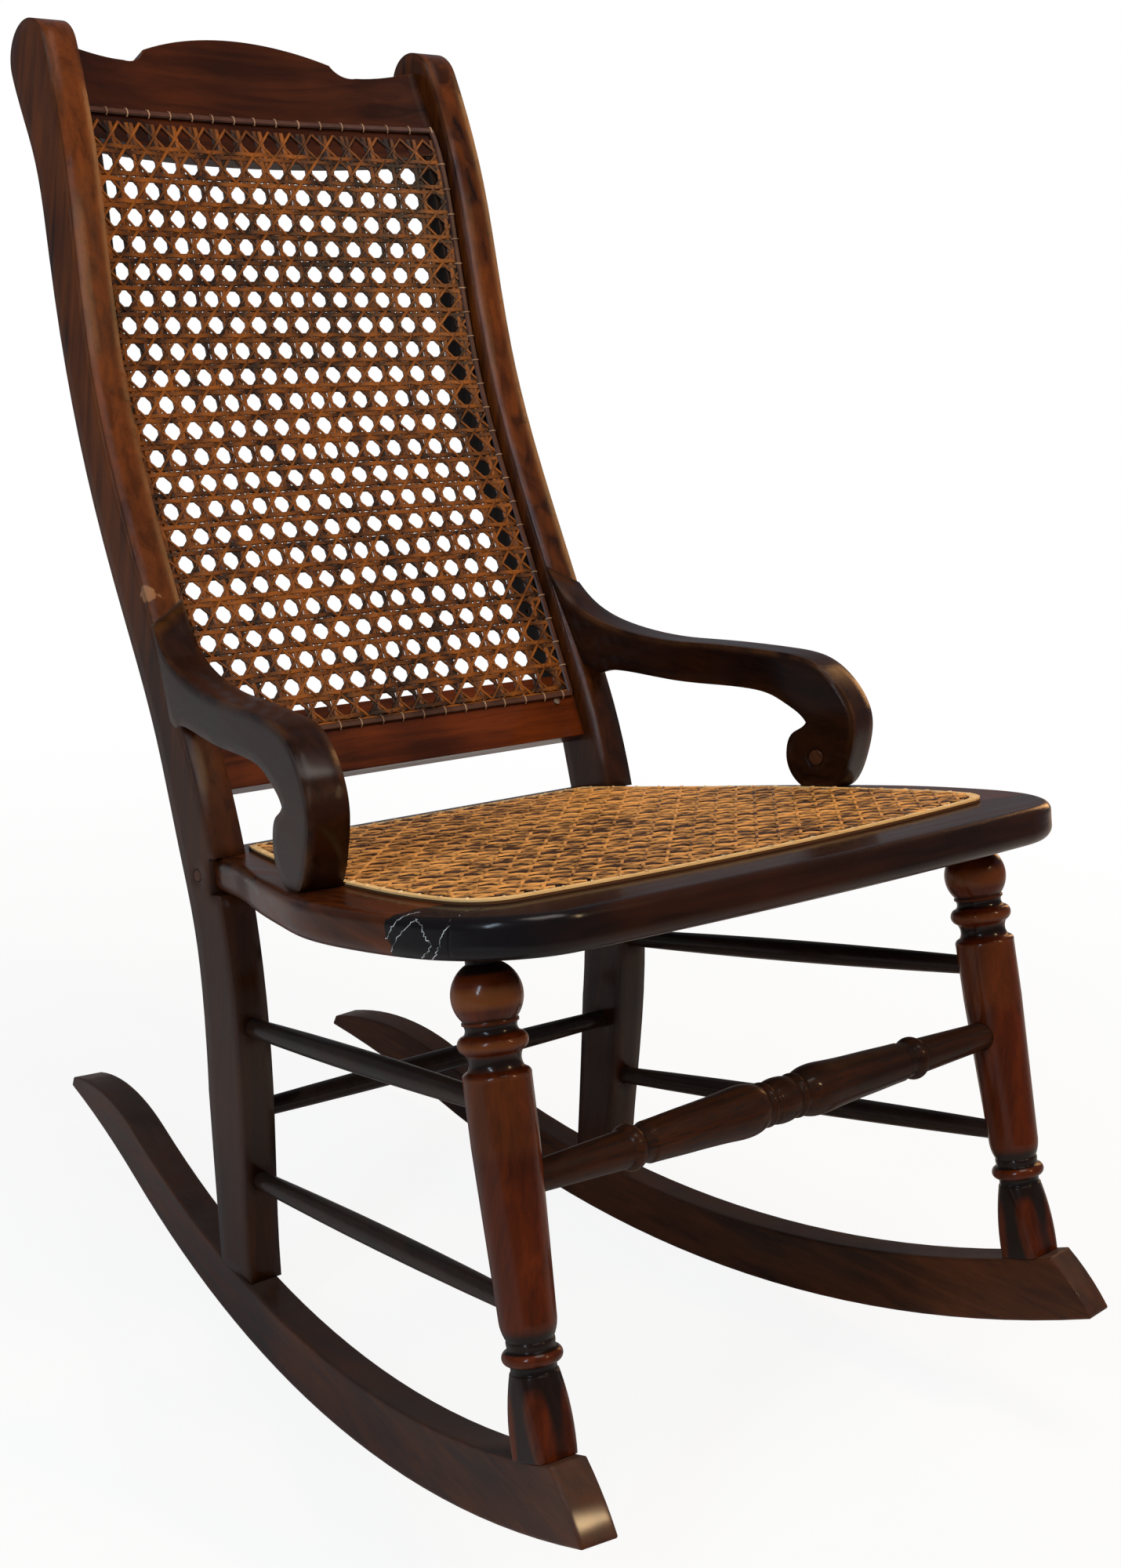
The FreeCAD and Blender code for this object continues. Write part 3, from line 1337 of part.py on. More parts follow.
rocker_dowels, seat_dowels, arm_dowels, arm_screws, arm_plugs = [], [], [], [], []
post_screws, post_plugs, slip_pins, rail_nails = [], [], [], []
for name, side in SIDES:
    half = dim.dowel_length / 2
    foot_y = dim.foot_front + dim.foot_depth / 2
    foot = Vector(side * rocker_centre_x(foot_y), foot_y, rocker_top(along_rocker(foot_y)))
    rocker_dowels.append(dowel(f"{name}_rocker_dowel", foot, (0, 0, 1), "dowel_radius", "dowel_length"))
    bore(posts[side], "rocker_dowel", foot, (0, 0, 1), "dowel_radius", half)
    bore(rockers[side], "rocker_dowel", foot, (0, 0, -1), "dowel_radius", half)

    half = dim.seat_dowel_length / 2
    inner, outer = seam_points(side)
    across = Vector(side * (inner[1] - outer[1]), abs(outer[0] - inner[0]), 0).normalize()
    share = 0.6
    seam = Vector(inner[0] + (outer[0] - inner[0]) * share, inner[1] + (outer[1] - inner[1]) * share, 0)
    seam.z = seat_z(seam.y) - dim.seat_thickness / 2
    rear = Vector(side * (dim.opening_rear_half + 13), dim.opening_rear, 0)
    rear.z = seat_z(rear.y) - dim.seat_thickness / 2
    for place, middle, direction, behind in (("front", seam, across, side_rails[side]),
                                             ("rear", rear, Vector(0, 1, 0), rear_rail)):
        ahead = seat if place == "front" else side_rails[side]
        seat_dowels.append(dowel(f"{name}_{place}_seat_dowel", middle, direction, "seat_dowel_radius",
                                 "seat_dowel_length"))
        bore(behind, f"{name}_{place}_dowel", middle, direction, "seat_dowel_radius", half)
        bore(ahead, f"{name}_{place}_dowel", middle, direction.negative(), "seat_dowel_radius", half)

    half = dim.arm_dowel_length / 2
    rise = seam_direction()
    into_post = Vector(0, rise[1], -rise[0])
    middle = seam_middle(side, 0.28)
    arm_dowels.append(dowel(f"{name}_arm_dowel", middle, into_post, "arm_dowel_radius", "arm_dowel_length"))
    bore(posts[side], "arm_dowel", middle, into_post, "arm_dowel_radius", half)
    bore(arms[side], "arm_dowel", middle, into_post.negative(), "arm_dowel_radius", half)

    slope = math.radians(dim.seat_slope)
    up = Vector(0, math.sin(slope), math.cos(slope))
    under = scroll_bottom(side) - up * dim.seat_thickness
    arm_screws.append(screw(f"{name}_arm_screw", under, up, "scroll_screw_length"))
    bore(side_rails[side], "arm_screw", under, up, "screw_radius", dim.seat_thickness + 6)
    bore(side_rails[side], "arm_screw_head", under, up, "screw_head_radius", dim.screw_head_height)
    bore(arms[side], "arm_screw", scroll_bottom(side), up, "screw_radius",
         dim.scroll_screw_length - dim.seat_thickness)

    splay = math.radians(dim.arm_splay)
    outward = Vector(side * math.cos(splay), math.sin(splay), 0)
    hub_y = -dim.scroll_reach
    hub = Vector(side * arm_inner(hub_y), hub_y, dim.seat_height + dim.scroll_radius + 0.3)
    sunk = 5.0
    bore(arms[side], "plug", hub, outward, "plug_radius", sunk)
    plug = doc.addObject("Part::Cylinder", f"{name}_arm_plug")
    plug.setExpression("Radius", "sizes.plug_radius")
    plug.setExpression("Height", f"sizes.plug_height + {sunk}")
    plug.Placement = facing(hub - outward * dim.plug_height, outward)
    arm_plugs.append(plug)

    height = seat_z(dim.opening_rear + dim.rear_rail_depth / 2) - dim.seat_thickness / 2
    y = dim.opening_rear + dim.rear_rail_depth / 2 - 2
    skin = Vector(side * post_half(height), y, height)
    inward = Vector(-side, 0, 0)
    post_plugs.append(new_cylinder(f"{name}_post_plug", skin, inward, "post_plug_radius", "post_plug_depth"))
    head = skin + inward * (dim.post_plug_depth + dim.joint_gap)
    post_screws.append(screw(f"{name}_post_screw", head, inward, "post_screw_length"))
    bore(posts[side], "post_plug", skin, inward, "post_plug_radius", dim.post_plug_depth)
    bore(posts[side], "post_screw_head", head, inward, "screw_head_radius", dim.screw_head_height)
    bore(posts[side], "post_screw", skin, inward, "screw_radius", dim.post_thickness + 10)
    bore(rear_rail, f"{name}_post_screw", Vector(side * inner_half(height), y, height), inward, "screw_radius",
         dim.post_screw_length)

    for place, share in (("low", 0.12), ("high", 0.9)):
        z = rail_top() + (dim.crest_bottom - rail_top()) * share
        start = Vector(side * (slip_inner(z) + 1), cane_y(z) + dim.slip_depth / 2, z)
        label = f"{name}_{place}_pin"
        slip_pins.append(new_cylinder(label, start, (side, 0, 0), "pin_radius", "pin_length"))
        bore(slips[side], label, start, (side, 0, 0), "pin_radius", dim.slip_width)
        bore(posts[side], label, Vector(side * inner_half(z), start.y, z), (side, 0, 0), "pin_radius",
             dim.pin_length - dim.slip_width + 2)
    corner = Vector(side * (cane_edge(dim.back_cane_low) - dim.binder_width - 6), 0, 0)
    nail = low_base + board_up() * (dim.lower_rail_height - 20) + corner
    nail_head = nail - board_back() * 0.1
    shank = new_cylinder(f"{name}_nail_shank", nail_head, board_back(), "nail_radius", "nail_length")
    cap = new_cylinder(f"{name}_nail_cap", nail_head - board_back() * 1.0, board_back(), "nail_head_radius",
                       "nail_radius")
    fused = doc.addObject("Part::Fuse", f"{name}_rail_nail")
    fused.Base = cap
    fused.Tool = shank
    rail_nails.append(fused)
    bore(lower, f"{name}_nail", nail, board_back(), "nail_radius", dim.nail_length)

for label, members in (("rocker_dowels", rocker_dowels), ("seat_dowels", seat_dowels), ("arm_dowels", arm_dowels),
                       ("arm_screws", arm_screws), ("arm_plugs", arm_plugs), ("post_screws", post_screws),
                       ("post_plugs", post_plugs), ("slip_pins", slip_pins), ("rail_nails", rail_nails)):
    new_group(label, members)

# Stance: the whole chair leans back about the X axis until its rockers carry it, then stands on the floor
doc.recompute()
lean = FreeCAD.Placement(Vector(0, 0, 0), FreeCAD.Rotation(Vector(1, 0, 0), -dim.lean_back))
leaned = []
for node in NODES:
    shape = node.Shape.copy()
    shape.Placement = lean.multiply(shape.Placement)
    leaned.append(shape)
box = Part.Compound(leaned).optimalBoundingBox(False, False)
stance = FreeCAD.Placement(Vector(0, -(box.YMin + box.YMax) / 2, -box.ZMin), lean.Rotation)
for node in NODES:
    node.Placement = stance.multiply(node.Placement)
doc.recompute()

# Checks and files
for item in doc.Objects:
    if "Invalid" in item.State or "Error" in item.State:
        raise ValueError(f"{item.Name}: {item.getStatusString()}")
for node in NODES:
    if node.Shape.isNull() or not node.Shape.isValid():
        raise ValueError(f"{node.Label}: no valid shape")
    if node.TypeId == "PartDesign::Body" and len(node.Shape.Solids) != 1:
        raise ValueError(f"{node.Label}: {len(node.Shape.Solids)} solids")
os.makedirs("parts", exist_ok=True)
for node in NODES:
    node.Shape.exportStep(f"parts/{node.Label}.step")
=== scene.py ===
import math

import bpy
from bpy.props import FloatProperty, IntProperty, PointerProperty
from mathutils import Matrix, Vector
from mathutils.bvhtree import BVHTree


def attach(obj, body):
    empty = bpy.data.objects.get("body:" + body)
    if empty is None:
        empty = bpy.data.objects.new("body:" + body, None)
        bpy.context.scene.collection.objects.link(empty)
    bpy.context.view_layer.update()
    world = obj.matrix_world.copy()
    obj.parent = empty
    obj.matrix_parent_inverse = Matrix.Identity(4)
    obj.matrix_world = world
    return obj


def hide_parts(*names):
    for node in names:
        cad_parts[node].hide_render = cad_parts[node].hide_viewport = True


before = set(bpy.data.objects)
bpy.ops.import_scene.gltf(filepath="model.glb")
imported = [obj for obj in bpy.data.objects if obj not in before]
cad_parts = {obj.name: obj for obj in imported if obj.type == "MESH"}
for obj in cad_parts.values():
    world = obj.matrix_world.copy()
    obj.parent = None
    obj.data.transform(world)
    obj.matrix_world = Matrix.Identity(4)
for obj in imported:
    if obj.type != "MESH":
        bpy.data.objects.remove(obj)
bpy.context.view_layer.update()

bl_info = {
    "name": "Cane Rocking Chair",
    "version": (1, 0, 0),
    "blender": (4, 5, 0),
    "location": "View3D > Sidebar > Rocking Chair",
    "description": "Weaves the cane and finishes the wood of a rocking chair",
    "category": "Object",
}

MM = 0.001
BODY = "root"

# Stance of the empty chair: the upright design frame leans back and stands on the floor
LEAN = math.radians(7.9)
STANCE_Y = -144.194 * MM
STANCE_Z = 11.4696 * MM

# Back cane, in the upright frame: the sheet, and the binder that covers its edge
SHEET_LOW, SHEET_HIGH = 431.5 * MM, 866.0 * MM
BINDER_LOW, BINDER_HIGH = 431.0 * MM, 869.0 * MM
SHEET_MARGIN = 9.0 * MM
BINDER_MARGIN = 3.8 * MM
BACK_COLUMNS = 8
BACK_ROW_PITCH = 18.67 * MM
BACK_ROW_GROWTH = 0.048 * MM
BACK_MIDDLE = 660.6 * MM

# Posts in the front view: an arc between foot and finial
POST_LOW, POST_HIGH = 52.5 * MM, 931.5 * MM
POST_BOW = 11.9 * MM
POST_INNER = (182.3 - 25.4) * MM

# Front legs: axis from the ball to the foot, in the upright frame
LEG_TOP = (217.0 * MM, -164.0 * MM, 343.5 * MM)
LEG_FOOT = (222.0 * MM, -220.0 * MM, 84.0 * MM)

# Seat cane
SEAT_FRONT_LINE = -175.0 * MM

# Section of a strand: share of its width, share of its thickness, and how much darker that corner is, a
# painted shade along the strand's edges
STRAND_SECTION = ((-0.5, -0.5, 0.9), (-0.3, 0.45, 0.0), (0.3, 0.45, 0.0), (0.5, -0.5, 0.9))
# Binder of the back: width, thickness and height over the sheet
BACK_BAND = (5.0 * MM, 1.3 * MM, 1.0 * MM)
# Stitches of the back: reach, height over the sheet, width and thickness
BACK_STITCH = (3.2 * MM, 2.1 * MM, 1.3 * MM, 0.5 * MM)
SEAT_STITCH_REACH = 2.2 * MM
SEAT_STITCH_LIFT = 0.35 * MM
SEAT_STITCH_WIDTH = 2.0 * MM
SEAT_STITCH_THICK = 0.6 * MM

# Radii about a front leg's axis: below the necks' pair it is a neck, above the rings' pair a ring
NECK_RADII = (16.9 * MM, 15.6 * MM)
RING_RADII = (19.8 * MM, 21.0 * MM)

# Blackened end of the front board: a point of its edge in the upright frame, the slope of that edge,
# and the distances to the left between which it fades in
DARK_END_EDGE = (-0.266, -0.139, 0.384)
DARK_END_SLOPE = 0.139
DARK_END_BLUR = 0.8 * MM
DARK_END_SIDES = (-0.17, -0.235)
# Pale chip on the left post, in the upright frame
CHIP_AT = (-0.1905, 0.2405, 0.5345)
CHIP_RADII = (7.0 * MM, 5.8 * MM)
CRACK_STEPS = 6
CRACK_ROUGHNESS = 1.6
CRACK_WIDTH = 0.55 * MM
CRACK_THICK = 0.25 * MM
CRACK_LIFT = 0.1 * MM

# Colours that wear, dirt and damage bring to the wood, and the painted shade of the low posts, in linear
# light
GRIME_COLOUR = (0.008, 0.004, 0.003, 1)
DUST_COLOUR = (0.058, 0.048, 0.041, 1)
NECK_COLOUR = (0.006, 0.004, 0.003, 1)
BLACKENED_COLOUR = (0.0055, 0.004, 0.0045, 1)
CHIP_COLOUR = (0.36, 0.16, 0.065, 1)
POST_PAINTED_SHADE_COLOUR = (0.014, 0.0045, 0.0018, 1)

# Rise of a strand that brightens its tone by 1
LIFT_OF_TONE = 0.7 * MM

# Camera of the reference view, in the upright frame
CAMERA_AT = (-0.997, -1.140, 0.7235)
CAMERA_FORWARD = (0.6405, 0.7413, -0.2006)
CAMERA_RIGHT = (0.7567, -0.6538, 0.0)
CAMERA_LENS = 52.2
CAMERA_SHIFT = (-0.0065, -0.0015)
# Share of the white surround that mirrored and passing rays see
GLOSSY_SHARE = 0.05
# Heights in metres between which the posts darken towards the floor, a painted shade below the seat
SHADE_LOW, SHADE_HIGH = 0.30, 0.62

# Lamps: name, place, size in metres, watts and colour; each is turned to the middle of the chair
CHAIR_MIDDLE = (0.0, 0.0, 0.45)
LAMPS = (
    ("window", (-2.3, -0.9, 1.7), (0.16, 1.2), 32.0, (0.70, 0.84, 1.0)),
    ("lamp", (0.9, -2.2, 2.3), (0.22, 0.4), 26.0, (1.0, 0.70, 0.38)),
    ("ceiling", (0.0, -0.6, 3.0), (1.2, 1.2), 40.0, (1.0, 0.96, 0.9)),
    ("warm_side", (2.6, 0.6, 1.1), (0.5, 1.4), 17.0, (1.0, 0.50, 0.18)),
)
ROOM_STRENGTH = 0.20
FLOOR_REACH = 30.0

GRAIN_X = ("crest_rail", "lower_back_rail", "seat_rear_rail", "rear_stretcher")
GRAIN_Y = ("left_seat_rail", "right_seat_rail")
ARMS = ("left_arm", "right_arm")
SIDE_BARS = ("left_upper_stretcher", "right_upper_stretcher", "left_lower_stretcher", "right_lower_stretcher")
TURNED_LEGS = ("left_front_leg", "right_front_leg")
POSTS = ("left_back_post", "right_back_post")
ROCKERS = ("left_rocker", "right_rocker")
SLIPS = ("left_cane_slip", "right_cane_slip")
PEGS = ("arm_plugs", "post_plugs", "slip_pins", "rocker_dowels", "seat_dowels", "arm_dowels")


def to_world(x, y, z):
    """A point of the upright design frame, as the leaning chair holds it."""
    c, s = math.cos(LEAN), math.sin(LEAN)
    return Vector((x, y * c + z * s + STANCE_Y, z * c - y * s + STANCE_Z))


def turned(direction):
    """A direction of the upright design frame, leaned back."""
    return Matrix.Rotation(-LEAN, 3, "X") @ Vector(direction)


def chance(*seeds):
    """Repeatable value between 0 and 1 from whole numbers."""
    value = 0.0
    for index, seed in enumerate(seeds):
        value += math.sin(seed * 12.9898 + index * 78.233 + 4.1) * 43758.5453
    return value - math.floor(value)


def surface_of(node):
    """Ray-casting tree of a CAD node."""
    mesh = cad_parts[node].data
    points = [vertex.co.copy() for vertex in mesh.vertices]
    return BVHTree.FromPolygons(points, [tuple(face.vertices) for face in mesh.polygons])


def post_inner(z):
    """Half width between the posts' inner faces at a height of the upright frame."""
    half_chord = (POST_HIGH - POST_LOW) / 2
    radius = (half_chord ** 2 + POST_BOW ** 2) / (2 * POST_BOW)
    rise = z - (POST_LOW + POST_HIGH) / 2
    return POST_INNER + POST_BOW - radius + math.sqrt(radius ** 2 - rise ** 2)


# Meshes of strands


class Strands:
    """Collects flat ribbons with rounded tops in one mesh."""

    def __init__(self):
        self.points = []
        self.faces = []
        self.tones = []

    def add(self, path, width, thick):
        """One ribbon along a path of (point, normal, tone) triples."""
        if len(path) < 2:
            return
        first = len(self.points)
        for index, (point, normal, tone) in enumerate(path):
            before = path[max(index - 1, 0)][0]
            after = path[min(index + 1, len(path) - 1)][0]
            across = (after - before).cross(normal).normalized()
            # The darker corners paint shade along each strand's edges
            for side, lift, shade in STRAND_SECTION:
                self.points.append(point + across * (width * side) + normal * (thick * lift))
                self.tones.append(tone - shade)
        for row in range(len(path) - 1):
            base = first + row * 4
            for column in range(4):
                follow = (column + 1) % 4
                self.faces.append((base + column, base + follow, base + follow + 4, base + column + 4))
        last = first + (len(path) - 1) * 4
        self.faces.append((first + 3, first + 2, first + 1, first))
        self.faces.append((last, last + 1, last + 2, last + 3))

    def build(self, name, material):
        mesh = bpy.data.meshes.new(name)
        mesh.from_pydata(self.points, [], self.faces)
        mesh.validate()
        tone = mesh.attributes.new("tone", "FLOAT", "POINT")
        for index, value in enumerate(self.tones):
            tone.data[index].value = value
        mesh.materials.append(material)
        piece = bpy.data.objects.new(name, mesh)
        bpy.context.scene.collection.objects.link(piece)
        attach(piece, BODY)
        return piece


class Sheet:
    """Surface that strands lie on: a CAD node seen along one direction of the upright frame.

    reach gives the largest |across| at an along value, span the range of along. Beyond them the
    surface goes on straight. Where the cover node is hit, the sheet counts as hidden."""

    def __init__(self, node, direction, start, reach=None, span=None, cover=None):
        self.tree = surface_of(node)
        self.cover = surface_of(cover) if cover else None
        self.direction = turned(direction)
        self.start = start
        self.reach = reach
        self.span = span

    def cast(self, across, along):
        if self.cover and self.cover.ray_cast(self.start(across, along), self.direction)[0] is not None:
            return None
        hit, normal, _, _ = self.tree.ray_cast(self.start(across, along), self.direction)
        if hit is None:
            return None
        if normal.dot(self.direction) > 0:
            normal = -normal
        return (hit, normal) if abs(normal.dot(self.direction)) > 0.5 else None

    def at(self, across, along, depth=0.0):
        """(point, outward normal), sunk below the surface by a depth, or None beside the sheet."""
        step = 5 * MM
        inner_along = along if self.span is None else min(max(along, self.span[0]), self.span[1])
        limit = abs(across) if self.reach is None else self.reach(inner_along)
        inner_across = min(max(across, -limit), limit)
        found = self.cast(inner_across, inner_along)
        if found is None:
            return None
        point, normal = found
        if inner_across != across:
            back = math.copysign(step, across)
            other = self.cast(inner_across - back, inner_along)
            point = point + (point - other[0]) * ((across - inner_across) / back)
        if inner_along != along:
            back = math.copysign(step, along - inner_along)
            other = self.cast(inner_across, inner_along - back)
            point = point + (found[0] - other[0]) * ((along - inner_along) / back)
        return point - normal * depth, normal


def back_sheet(node):
    return Sheet(node, (0, 1, 0), lambda x, z: to_world(x, -0.2, z),
                 reach=lambda z: post_inner(z) - SHEET_MARGIN, span=(SHEET_LOW, SHEET_HIGH))


def seat_sheet(node, cover=None):
    return Sheet(node, (0, 0, -1), lambda x, y: to_world(x, y, 0.7), cover=cover)


def lay(strands, sheet, line, count, depth, width, thick, tone, inside=None):
    """Lays one strand along a line of the sheet, broken where the sheet ends."""
    path = []
    for step in range(count + 1):
        share = step / count
        across, along = line(share)
        sunk, lift = depth(share)
        found = None
        if inside is None or inside(across, along):
            found = sheet.at(across, along, sunk - lift)
        if found is None:
            strands.add(path, width, thick)
            path = []
        else:
            path.append((*found, tone + lift / LIFT_OF_TONE))
    strands.add(path, width, thick)


def wave(value, amount):
    return amount * math.cos(2 * math.pi * value)


def weave(strands, sheet, place, columns, rows, base, swing, settings, inside=None):
    """Six-way cane weave: paired uprights, paired cross strands and two diagonals.

    place turns grid numbers (column, row) into the sheet's two coordinates; base is the depth of
    the lowest layer, swing its rise and fall; inside tells where strands may lie."""
    width, thick = settings.strand_width * MM, settings.strand_thickness * MM
    wide = settings.diagonal_width * MM
    gap = settings.pair_gap / settings.mesh_pitch / 2
    low_column, high_column = columns
    low_row, high_row = rows
    tall, broad = high_row - low_row, high_column - low_column
    for column in range(low_column, high_column + 1):
        for turn in (-1, 1):
            shift = turn * gap + (chance(column, turn, 2) - 0.5) * 0.03

            def upright(share, column=column, shift=shift, turn=turn):
                row = low_row + tall * share
                return place(column + shift + turn * wave(row, 0.015), row)

            def sunk(share, turn=turn):
                return base, wave((low_row + tall * share) * 0.5 + turn * 0.25, swing)

            lay(strands, sheet, upright, tall * 8, sunk, width, thick, chance(column, turn, 1) - 0.2, inside)
    for row in range(low_row, high_row):
        for turn in (-1, 1):
            shift = turn * gap + (chance(row, turn, 4) - 0.5) * 0.03

            def level(share, row=row, shift=shift, turn=turn):
                column = low_column + broad * share
                return place(column, row + shift + turn * wave(column, 0.015))

            def sunk(share, turn=turn):
                return base - 0.3 * MM, wave((low_column + broad * share) * 0.5 + turn * 0.25, swing)

            lay(strands, sheet, level, broad * 8, sunk, width, thick, chance(row, turn, 3) - 0.1, inside)
    for lean in (-1, 1):
        for start in range(low_column - tall - 1, high_column + tall + 1):
            first = start + 0.5 + (chance(start, lean, 6) - 0.5) * 0.05

            def slanted(share, first=first, lean=lean):
                if lean > 0:
                    return place(first + tall * share, low_row + tall * share)
                return place(first + tall * (1 - share), low_row + tall * share)

            def sunk(share, lean=lean):
                return base - (0.65 + 0.15 * lean) * MM, wave(tall * share + 0.25 * lean, swing)

            lay(strands, sheet, slanted, tall * 8, sunk, wide, thick, chance(start, lean, 5) + 0.15, inside)


def edge_band(strands, sheet, corners, width, thick, lift, tone):
    """Flat binder along straight stretches between points of the sheet."""
    for start, end in zip(corners, corners[1:]):
        length = math.dist(start, end)
        count = max(int(length / (9 * MM)), 2)
        path = []
        for step in range(count + 1):
            share = step / count
            across = start[0] + (end[0] - start[0]) * share
            along = start[1] + (end[1] - start[1]) * share
            found = sheet.at(across, along, -lift)
            if found:
                path.append((*found, tone + 0.3 * chance(step, int(length * 1e4))))
        strands.add(path, width, thick)


def stitch(strands, sheet, middle, across, reach, lift, width, thick, tone):
    """Short loop over the binder: across is its direction on the sheet."""
    path = []
    for share, rise in ((-1.0, 0.0), (-0.62, 0.85), (0.0, 1.0), (0.62, 0.85), (1.0, 0.0)):
        found = sheet.at(middle[0] + across[0] * reach * share, middle[1] + across[1] * reach * share,
                         -lift * rise)
        if found is None:
            return
        path.append((*found, tone))
    strands.add(path, width, thick)


# Shader node groups and materials


def add_node(tree, kind, values=None, **settings):
    item = tree.nodes.new(kind)
    for key, value in settings.items():
        setattr(item, key, value)
    for key, value in (values or {}).items():
        item.inputs[key].default_value = value
    return item


def join(tree, start, end):
    tree.links.new(start, end)


def mix_colours(tree, factor, first, second, blend="MIX"):
    """Mixes two colours. Each input is a socket or a value."""
    item = add_node(tree, "ShaderNodeMix", data_type="RGBA", blend_type=blend)
    for index, value in ((0, factor), (6, first), (7, second)):
        if isinstance(value, bpy.types.NodeSocket):
            join(tree, value, item.inputs[index])
        else:
            item.inputs[index].default_value = value
    return item.outputs[2]


def calculate(tree, operation, first, second=0.0, clamp=False):
    item = add_node(tree, "ShaderNodeMath", operation=operation, use_clamp=clamp)
    for index, value in enumerate((first, second)):
        if isinstance(value, bpy.types.NodeSocket):
            join(tree, value, item.inputs[index])
        else:
            item.inputs[index].default_value = value
    return item.outputs[0]


def scale_to(tree, value, low, high, new_low=0.0, new_high=1.0):
    item = add_node(tree, "ShaderNodeMapRange", {1: low, 2: high, 3: new_low, 4: new_high})
    join(tree, value, item.inputs[0])
    return item.outputs[0]


def new_group(name, inputs, outputs):
    tree = bpy.data.node_groups.new(name, "ShaderNodeTree")
    for label, kind, value in inputs:
        socket = tree.interface.new_socket(label, in_out="INPUT", socket_type=kind)
        if value is not None:
            socket.default_value = value
    for label, kind in outputs:
        tree.interface.new_socket(label, in_out="OUTPUT", socket_type=kind)
    return tree, tree.nodes.new("NodeGroupInput"), tree.nodes.new("NodeGroupOutput")


def grain_group():
    """Long streaks and pores of stained wood; the grain runs along Z of the vector."""
    tree, given, result = new_group(
        "wood_grain",
        [("Vector", "NodeSocketVector", None), ("Light", "NodeSocketColor", (0.2, 0.07, 0.03, 1)),
         ("Dark", "NodeSocketColor", (0.05, 0.02, 0.01, 1)), ("Patches", "NodeSocketFloat", 0.5),
         ("Open Pores", "NodeSocketFloat", 0.3)],
        [("Color", "NodeSocketColor"), ("Roughness", "NodeSocketFloat"), ("Height", "NodeSocketFloat")])
    spread = add_node(tree, "ShaderNodeVectorMath", operation="ADD")
    info = add_node(tree, "ShaderNodeObjectInfo")
    join(tree, given.outputs["Vector"], spread.inputs[0])
    join(tree, info.outputs["Random"], spread.inputs[1])
    stretch = add_node(tree, "ShaderNodeMapping", {"Scale": (1.0, 1.0, 0.07)})
    join(tree, spread.outputs[0], stretch.inputs["Vector"])
    streaks = add_node(tree, "ShaderNodeTexNoise", {"Scale": 95.0, "Detail": 6.0, "Distortion": 0.6})
    pores = add_node(tree, "ShaderNodeTexNoise", {"Scale": 620.0, "Detail": 2.0})
    join(tree, stretch.outputs[0], streaks.inputs["Vector"])
    join(tree, stretch.outputs[0], pores.inputs["Vector"])
    blotches = add_node(tree, "ShaderNodeTexNoise", {"Scale": 9.0, "Detail": 3.0})
    join(tree, spread.outputs[0], blotches.inputs["Vector"])
    streak = scale_to(tree, streaks.outputs[0], 0.34, 0.66)
    blotch = scale_to(tree, blotches.outputs[0], 0.35, 0.65)
    pore = scale_to(tree, pores.outputs[0], 0.5, 0.68)
    fine = calculate(tree, "MULTIPLY", streak, 0.62)
    shade = calculate(tree, "ADD", fine, calculate(tree, "MULTIPLY", blotch, given.outputs["Patches"]), True)
    body = mix_colours(tree, shade, given.outputs["Dark"], given.outputs["Light"])
    hole = calculate(tree, "MULTIPLY", pore, given.outputs["Open Pores"])
    join(tree, mix_colours(tree, hole, body, (0.012, 0.006, 0.004, 1)), result.inputs["Color"])
    join(tree, scale_to(tree, streak, 0.0, 1.0, 0.24, 0.36), result.inputs["Roughness"])
    join(tree, calculate(tree, "SUBTRACT", streak, hole), result.inputs["Height"])
    return tree


def edge_group():
    """Mask of worn outer edges, which on the posts is partly a painted highlight, and the normal that softens
    them.
    """
    tree, given, result = new_group(
        "edge_wear_and_sheen", [("Radius", "NodeSocketFloat", 0.0016), ("Amount", "NodeSocketFloat", 0.6)],
        [("Mask", "NodeSocketFloat"), ("Normal", "NodeSocketVector")])
    bevel = add_node(tree, "ShaderNodeBevel", samples=4)
    join(tree, given.outputs["Radius"], bevel.inputs["Radius"])
    shape = add_node(tree, "ShaderNodeNewGeometry")
    dot = add_node(tree, "ShaderNodeVectorMath", operation="DOT_PRODUCT")
    join(tree, bevel.outputs[0], dot.inputs[0])
    join(tree, shape.outputs["Normal"], dot.inputs[1])
    bend = calculate(tree, "SUBTRACT", 1.0, dot.outputs["Value"])
    patchy = add_node(tree, "ShaderNodeTexNoise", {"Scale": 30.0, "Detail": 4.0})
    where = add_node(tree, "ShaderNodeTexCoord")
    join(tree, where.outputs["Object"], patchy.inputs["Vector"])
    broken = scale_to(tree, patchy.outputs[0], 0.42, 0.62)
    mask = calculate(tree, "MULTIPLY", scale_to(tree, bend, 0.03, 0.22), broken)
    join(tree, calculate(tree, "MULTIPLY", mask, given.outputs["Amount"]), result.inputs["Mask"])
    join(tree, bevel.outputs[0], result.inputs["Normal"])
    return tree


